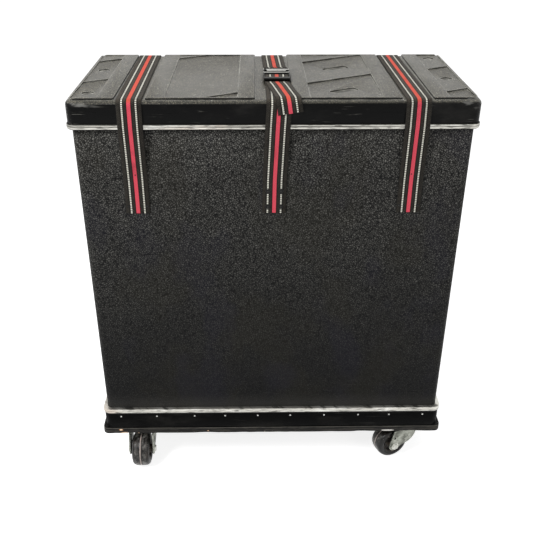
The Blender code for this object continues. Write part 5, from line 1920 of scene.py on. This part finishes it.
@dataclass
class HandleSet:
    """The two carrying handles: bail, ribbed grip, riveted loops."""

    grip_steps: int = 32
    rib_count: int = 9
    rib_depth: float = 0.0005
    rivet_radius: float = 0.0027

    def build(self) -> None:
        """Builds both handles."""
        pattern = rivet("loop_rivet", self.rivet_radius, 0.0012, 0.001)
        for side in Side:
            prefix = "handle_%s_" % side.word
            dressed_copy(prefix + "bail", NICKEL, degrees=60)
            self.grip(side)
            places = []
            for end in ("front", "rear"):
                node = prefix + "loop_" + end
                dressed_copy(node, NICKEL, 0.0005, 2)
                places += self.rivet_places(side, node)
            finish_rigid(set_out(prefix + "rivets", pattern, places), "case", [NICKEL, BRIGHT_ZINC])
        discard(pattern)

    def rivet_places(self, side: Side, node: str) -> list[Matrix]:
        """Two rivets through a loop's foot, above and below its barrel."""
        low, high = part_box(node)
        middle = (low + high) / 2
        face = (low.x if side is Side.RIGHT else high.x) + side.value * 0.0022
        return [facing((face, middle.y, middle.z + sign * 0.0128), (side.value, 0, 0)) for sign in (-1, 1)]

    def grip(self, side: Side) -> None:
        """Models the moulded grip: a swelling tube with shallow finger ribs."""
        node = "handle_%s_grip" % side.word
        low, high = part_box(node)
        middle, size = (low + high) / 2, high - low
        half, radius = size.y / 2, size.x / 2
        bore = 0.0038
        count = self.rib_count * 6
        outer = []
        for index in range(count + 1):
            share = index / count * 2 - 1
            swell = radius * (1 - 0.14 * share ** 4) - 0.0004
            rib = math.cos(math.pi * self.rib_count * (share + 1)) * self.rib_depth * (abs(share) < 0.86)
            outer.append((swell - abs(rib) * 0.9, -share * half * 0.985))
        ends = [(outer[0][0] - 0.0016, half), (bore, half)]
        profile = [(bore, -half), (outer[-1][0] - 0.0016, -half)] + outer[::-1] + ends
        thing = spun("made_" + node, profile, self.grip_steps, True)
        thing.data.transform(Matrix.Translation(middle) @ Matrix.Rotation(math.pi / 2, 4, "X"))
        smooth(thing, 42)
        stand_in(thing, node, GRIP)


# Casters


@dataclass
class Caster:
    """One swivel caster: plate, kingpin, fork, hub, tyre, axle bolt and screws."""

    word: str
    tyre_steps: int = 64
    screw_radius: float = 0.0042
    flats: float = 0.0108
    leg_top: float = 0.0679
    leg_outer: float = 0.02325
    sheet: float = 0.0025
    boss: tuple[float, float] = (0.0345, 0.0325)
    boss_radius: float = 0.0100
    pin: Vector = field(init=False)
    centre: Vector = field(init=False)
    axle: Vector = field(init=False)

    def __post_init__(self) -> None:
        """Reads the wheel's middle and its axle's direction from the frame."""
        pin_low, pin_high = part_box(self.node("kingpin"))
        low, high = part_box(self.node("tyre"))
        self.centre = (low + high) / 2
        self.pin = (pin_low + pin_high) / 2
        trail = self.centre - self.pin
        trail.z = 0
        self.axle = trail.normalized().cross(Vector((0, 0, 1)))

    def node(self, piece: str) -> str:
        """The name of one of this caster's nodes."""
        return "caster_%s_%s" % (self.word, piece)

    def build(self) -> None:
        """Builds and dresses the caster."""
        dressed_copy(self.node("plate"), ZINC, 0.0004, 2)
        dressed_copy(self.node("kingpin"), BRIGHT_ZINC, 0.0005, 2)
        self.fork()
        dressed_copy(self.node("hub"), HUB, 0.0005, 2)
        self.tyre()
        self.bolt()
        self.screws()

    def leg_outline(self) -> list[tuple[float, float]]:
        """A fork leg's outline, along the trail from the kingpin and up from the floor.

        Returns:
            The outline's points: its straight top, its front edge, the round boss and the swept back edge.
        """
        x, z = self.boss
        boss = [(x + self.boss_radius * math.cos(math.radians(angle)),
                 z + self.boss_radius * math.sin(math.radians(angle))) for angle in range(15, -121, -15)]
        top = [(-0.0113, self.leg_top), (0.0351, self.leg_top), (0.0398, 0.0499)]
        back = [(0.0255, 0.0268), (0.0200, 0.0308), (0.0122, 0.0330), (0.0060, 0.0350), (0.0014, 0.0376),
                (-0.0030, 0.0412), (-0.0066, 0.0458), (-0.0093, 0.0505), (-0.0113, 0.0570)]
        return top + boss + back

    def fork(self) -> None:
        """Models the fork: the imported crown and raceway, on pressed legs with a pierced corner."""
        node = self.node("fork")
        crown = merged_copy(node)
        with editing(crown):
            bisect((0, 0, self.leg_top - 0.0012), (0, 0, 1), use_fill=True, clear_inner=True)
        half = self.leg_outer
        outline = self.leg_outline()
        mesh = bpy.data.meshes.new("legs")
        mesh.from_pydata([(x, -half, z) for x, z in outline], [], [tuple(range(len(outline)))])
        legs = placed("legs", mesh)
        with editing(legs):
            bpy.ops.mesh.extrude_region_move(TRANSFORM_OT_translate={"value": (0, 2 * half, 0)})
            bpy.ops.mesh.select_all(action="SELECT")
            bpy.ops.mesh.normals_make_consistent(inside=False)
        inner = half - self.sheet
        cut_box(legs, (-0.05, -inner, 0.0), (0.08, inner, 0.1))
        cut_out(legs, primitive("hole", "cylinder", vertices=3, radius=0.0034, depth=0.1,
                                location=(0.0332, 0, 0.0504), rotation=(math.pi / 2, 0, 0)))
        soften(legs, 0.0005, 2)
        smooth(legs, 40)
        smooth(crown, 40)
        trail = Vector((0, 0, 1)).cross(self.axle)
        turn = Matrix((trail, -self.axle, Vector((0, 0, 1)))).transposed().to_4x4()
        legs.data.transform(Matrix.Translation((self.pin.x, self.pin.y, 0)) @ turn)
        thing = joined("made_" + node, [crown, legs])
        stand_in(thing, node, ZINC)

    def tyre(self) -> None:
        """Models the tyre: round shoulders, a mould line round the tread and a raised ring on each wall."""
        node = self.node("tyre")
        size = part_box(node)
        radius = (size[1].z - size[0].z) / 2 / math.cos(math.pi / 32) * 0.9985
        inner, half, flat = 0.0201, 0.0165, 0.0045
        right = [(inner, half - 0.0015), (0.0222, half - 0.0008), (0.0226, half), (0.0240, half + 0.0002),
                 (0.0245, half - 0.0005)]
        start = 0.0256
        for index in range(9):
            angle = math.pi / 2 * index / 8
            right.append((start + (radius - start) * math.sin(angle) ** 0.85,
                          flat + (half - 0.0006 - flat) * math.cos(angle) ** 0.85))
        right += [(radius - 0.00005, 0.0009), (radius + 0.00015, 0.0005), (radius + 0.00018, 0.0)]
        profile = right + [(r, -z) for r, z in right[-2::-1]]
        thing = spun("made_" + node, profile, self.tyre_steps, True)
        mark = thing.data.attributes.new("across", "FLOAT", "POINT")
        for index, vert in enumerate(thing.data.vertices):
            mark.data[index].value = vert.co.z
        thing.data.transform(facing(self.centre, self.axle))
        smooth(thing, 40)
        stand_in(thing, node, RUBBER)

    def bolt(self) -> None:
        """Models the axle: a bolt with a hexagonal head on one side and a nut on the other."""
        node = self.node("axle")
        shaft_radius, head_height = 0.0039, 0.0026
        outer = 0.0233
        shaft = disc("shaft", 24, shaft_radius, 2 * outer + 0.0022)
        with editing(shaft):
            select(shaft, "edges", lambda edge: is_high(edge, 0.01))
            bevel_edges(0.0005, 2)
        smooth(shaft, 34)
        shaft.data.transform(Matrix.Translation((0, 0, -outer)))
        head = hex_piece("head", self.flats, head_height)
        nut = hex_piece("nut", self.flats, head_height, 0.0041)
        head.data.transform(Matrix.Translation((0, 0, -outer - 0.0002)) @ Matrix.Rotation(math.pi, 4, "X"))
        nut.data.transform(Matrix.Translation((0, 0, outer + 0.0002)))
        washers = []
        for sign in (-1, 1):
            washer = disc("washer", 32, 0.0071, 0.0006)
            soften(washer, 0.0002, 2)
            smooth(washer, 40)
            washer.data.transform(Matrix.Translation((0, 0, sign * (outer + 0.0001) - 0.0003)))
            washers.append(washer)
        thing = joined("made_" + node, [shaft, head, nut] + washers)
        for face in thing.data.polygons:
            if math.hypot(face.center.x, face.center.y) < shaft_radius:
                face.material_index = 1
        thing.data.transform(facing(self.centre, self.axle * (1 if self.axle.y < 0 else -1)))
        stand_in(thing, node, BRIGHT_ZINC, ZINC)

    def screws(self) -> None:
        """Screws the plate to the board at its four corners, heads down."""
        pattern = pan_screw("plate_screw", self.screw_radius, 0.0024)
        low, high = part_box(self.node("plate"))
        middle, size = (low + high) / 2, high - low
        level = high.z - 0.0025
        places = [
            facing((middle.x + x * (size.x / 2 - 0.009), middle.y + y * (size.y / 2 - 0.009), level), (0, 0, -1))
            for x in (-1, 1) for y in (-1, 1)
        ]
        thing = set_out(self.node("screws"), pattern, places)
        discard(pattern)
        finish_rigid(thing, "case", [BRIGHT_ZINC])


# Studio


@dataclass(frozen=True)
class PhotoCamera:
    """The photograph's camera: its place in metres, its angles in degrees, its lens in millimetres."""

    place: Point = (-0.02778, -1.21242, 1.0174)
    yaw: float = 0.906
    pitch: float = 28.649
    roll: float = 0.117
    lens: float = 49.667

    def build(self) -> None:
        """Makes the camera and the scene's view of it."""
        yaw, pitch, roll = (math.radians(angle) for angle in (self.yaw, self.pitch, self.roll))
        ahead = Vector((math.sin(yaw) * math.cos(pitch), math.cos(yaw) * math.cos(pitch), -math.sin(pitch)))
        level = Vector((math.cos(yaw), -math.sin(yaw), 0))
        above = level.cross(ahead)
        right = level * math.cos(roll) + above * math.sin(roll)
        up = above * math.cos(roll) - level * math.sin(roll)
        data = bpy.data.cameras.new("photo_camera")
        data.sensor_width = 36.0
        data.lens = self.lens
        data.clip_start = 0.05
        data.clip_end = 60.0
        thing = placed("photo_camera", data)
        turn = Matrix((right, up, -ahead)).transposed().to_4x4()
        thing.matrix_world = Matrix.Translation(self.place) @ turn
        bpy.context.scene.camera = thing
        bpy.context.scene.view_settings.view_transform = "Standard"


@dataclass(frozen=True)
class Lamp:
    """One soft square lamp, aimed at the case."""

    name: str
    place: Point
    size: float
    watts: float

    def build(self) -> None:
        """Makes the lamp."""
        data = bpy.data.lights.new(self.name, "AREA")
        data.size = self.size
        data.energy = self.watts
        thing = placed(self.name, data)
        aim = Vector((0, 0, 0.4)) - Vector(self.place)
        thing.matrix_world = Matrix.Translation(self.place) @ aim.to_track_quat("-Z", "Y").to_matrix().to_4x4()


@dataclass
class Studio:
    """A plain pale floor, soft lamps and a white surround."""

    ambient: float = 0.30
    floor_colour: Colour = (0.72, 0.72, 0.72, 1.0)
    floor_glow: float = 0.80
    lamps: tuple[Lamp, ...] = (
        Lamp("key_lamp", (-1.6, -1.3, 2.2), 0.8, 46.0),
        Lamp("top_lamp", (0.2, 0.6, 2.6), 1.8, 16.0),
        Lamp("fill_lamp", (1.7, -1.6, 1.2), 1.2, 8.0),
    )

    def build(self) -> None:
        """Builds the lamps, the surround and the floor."""
        for lamp in self.lamps:
            lamp.build()
        self.surround()
        self.floor()

    def surround(self) -> None:
        """A soft grey light from all round that the camera and glossy faces see as white."""
        world = bpy.data.worlds.new("surround")
        bpy.context.scene.world = world
        world.use_nodes = True
        writer = NodeWriter(world.node_tree)
        strength = writer.between(writer.seen(), self.ambient, 1.0)
        backdrop = world.node_tree.nodes["Background"]
        backdrop.inputs["Color"].default_value = (1.0, 1.0, 1.0, 1.0)
        writer.feed(backdrop.inputs["Strength"], strength)

    def floor(self) -> None:
        """A pale floor that keeps the case's shadow."""
        thing = primitive("floor", "plane", size=40)
        made = bpy.data.materials.new("floor")
        made.use_nodes = True
        writer = NodeWriter(made.node_tree)
        shader = made.node_tree.nodes["Principled BSDF"]
        shader.inputs["Base Color"].default_value = self.floor_colour
        shader.inputs["Roughness"].default_value = 0.9
        shader.inputs["Specular IOR Level"].default_value = 0.0
        shader.inputs["Emission Color"].default_value = (1.0, 1.0, 1.0, 1.0)
        glow = writer.times(writer.seen(), self.floor_glow)
        writer.feed(shader.inputs["Emission Strength"], glow)
        thing.data.materials.append(made)


def main() -> None:
    """Builds the studio and the case's sub-assemblies."""
    logging.basicConfig(level=logging.INFO, format="%(name)s: %(message)s")
    PhotoCamera().build()
    Studio().build()
    sizes = CaseSizes.measured()
    Casing(sizes).build()
    straps = StrapSet(sizes)
    straps.build()
    BuckleSet(straps).build()
    HandleSet().build()
    for word in ("front_left", "front_right", "rear_left", "rear_right"):
        Caster(word).build()


if __name__ == "__main__":
    main()
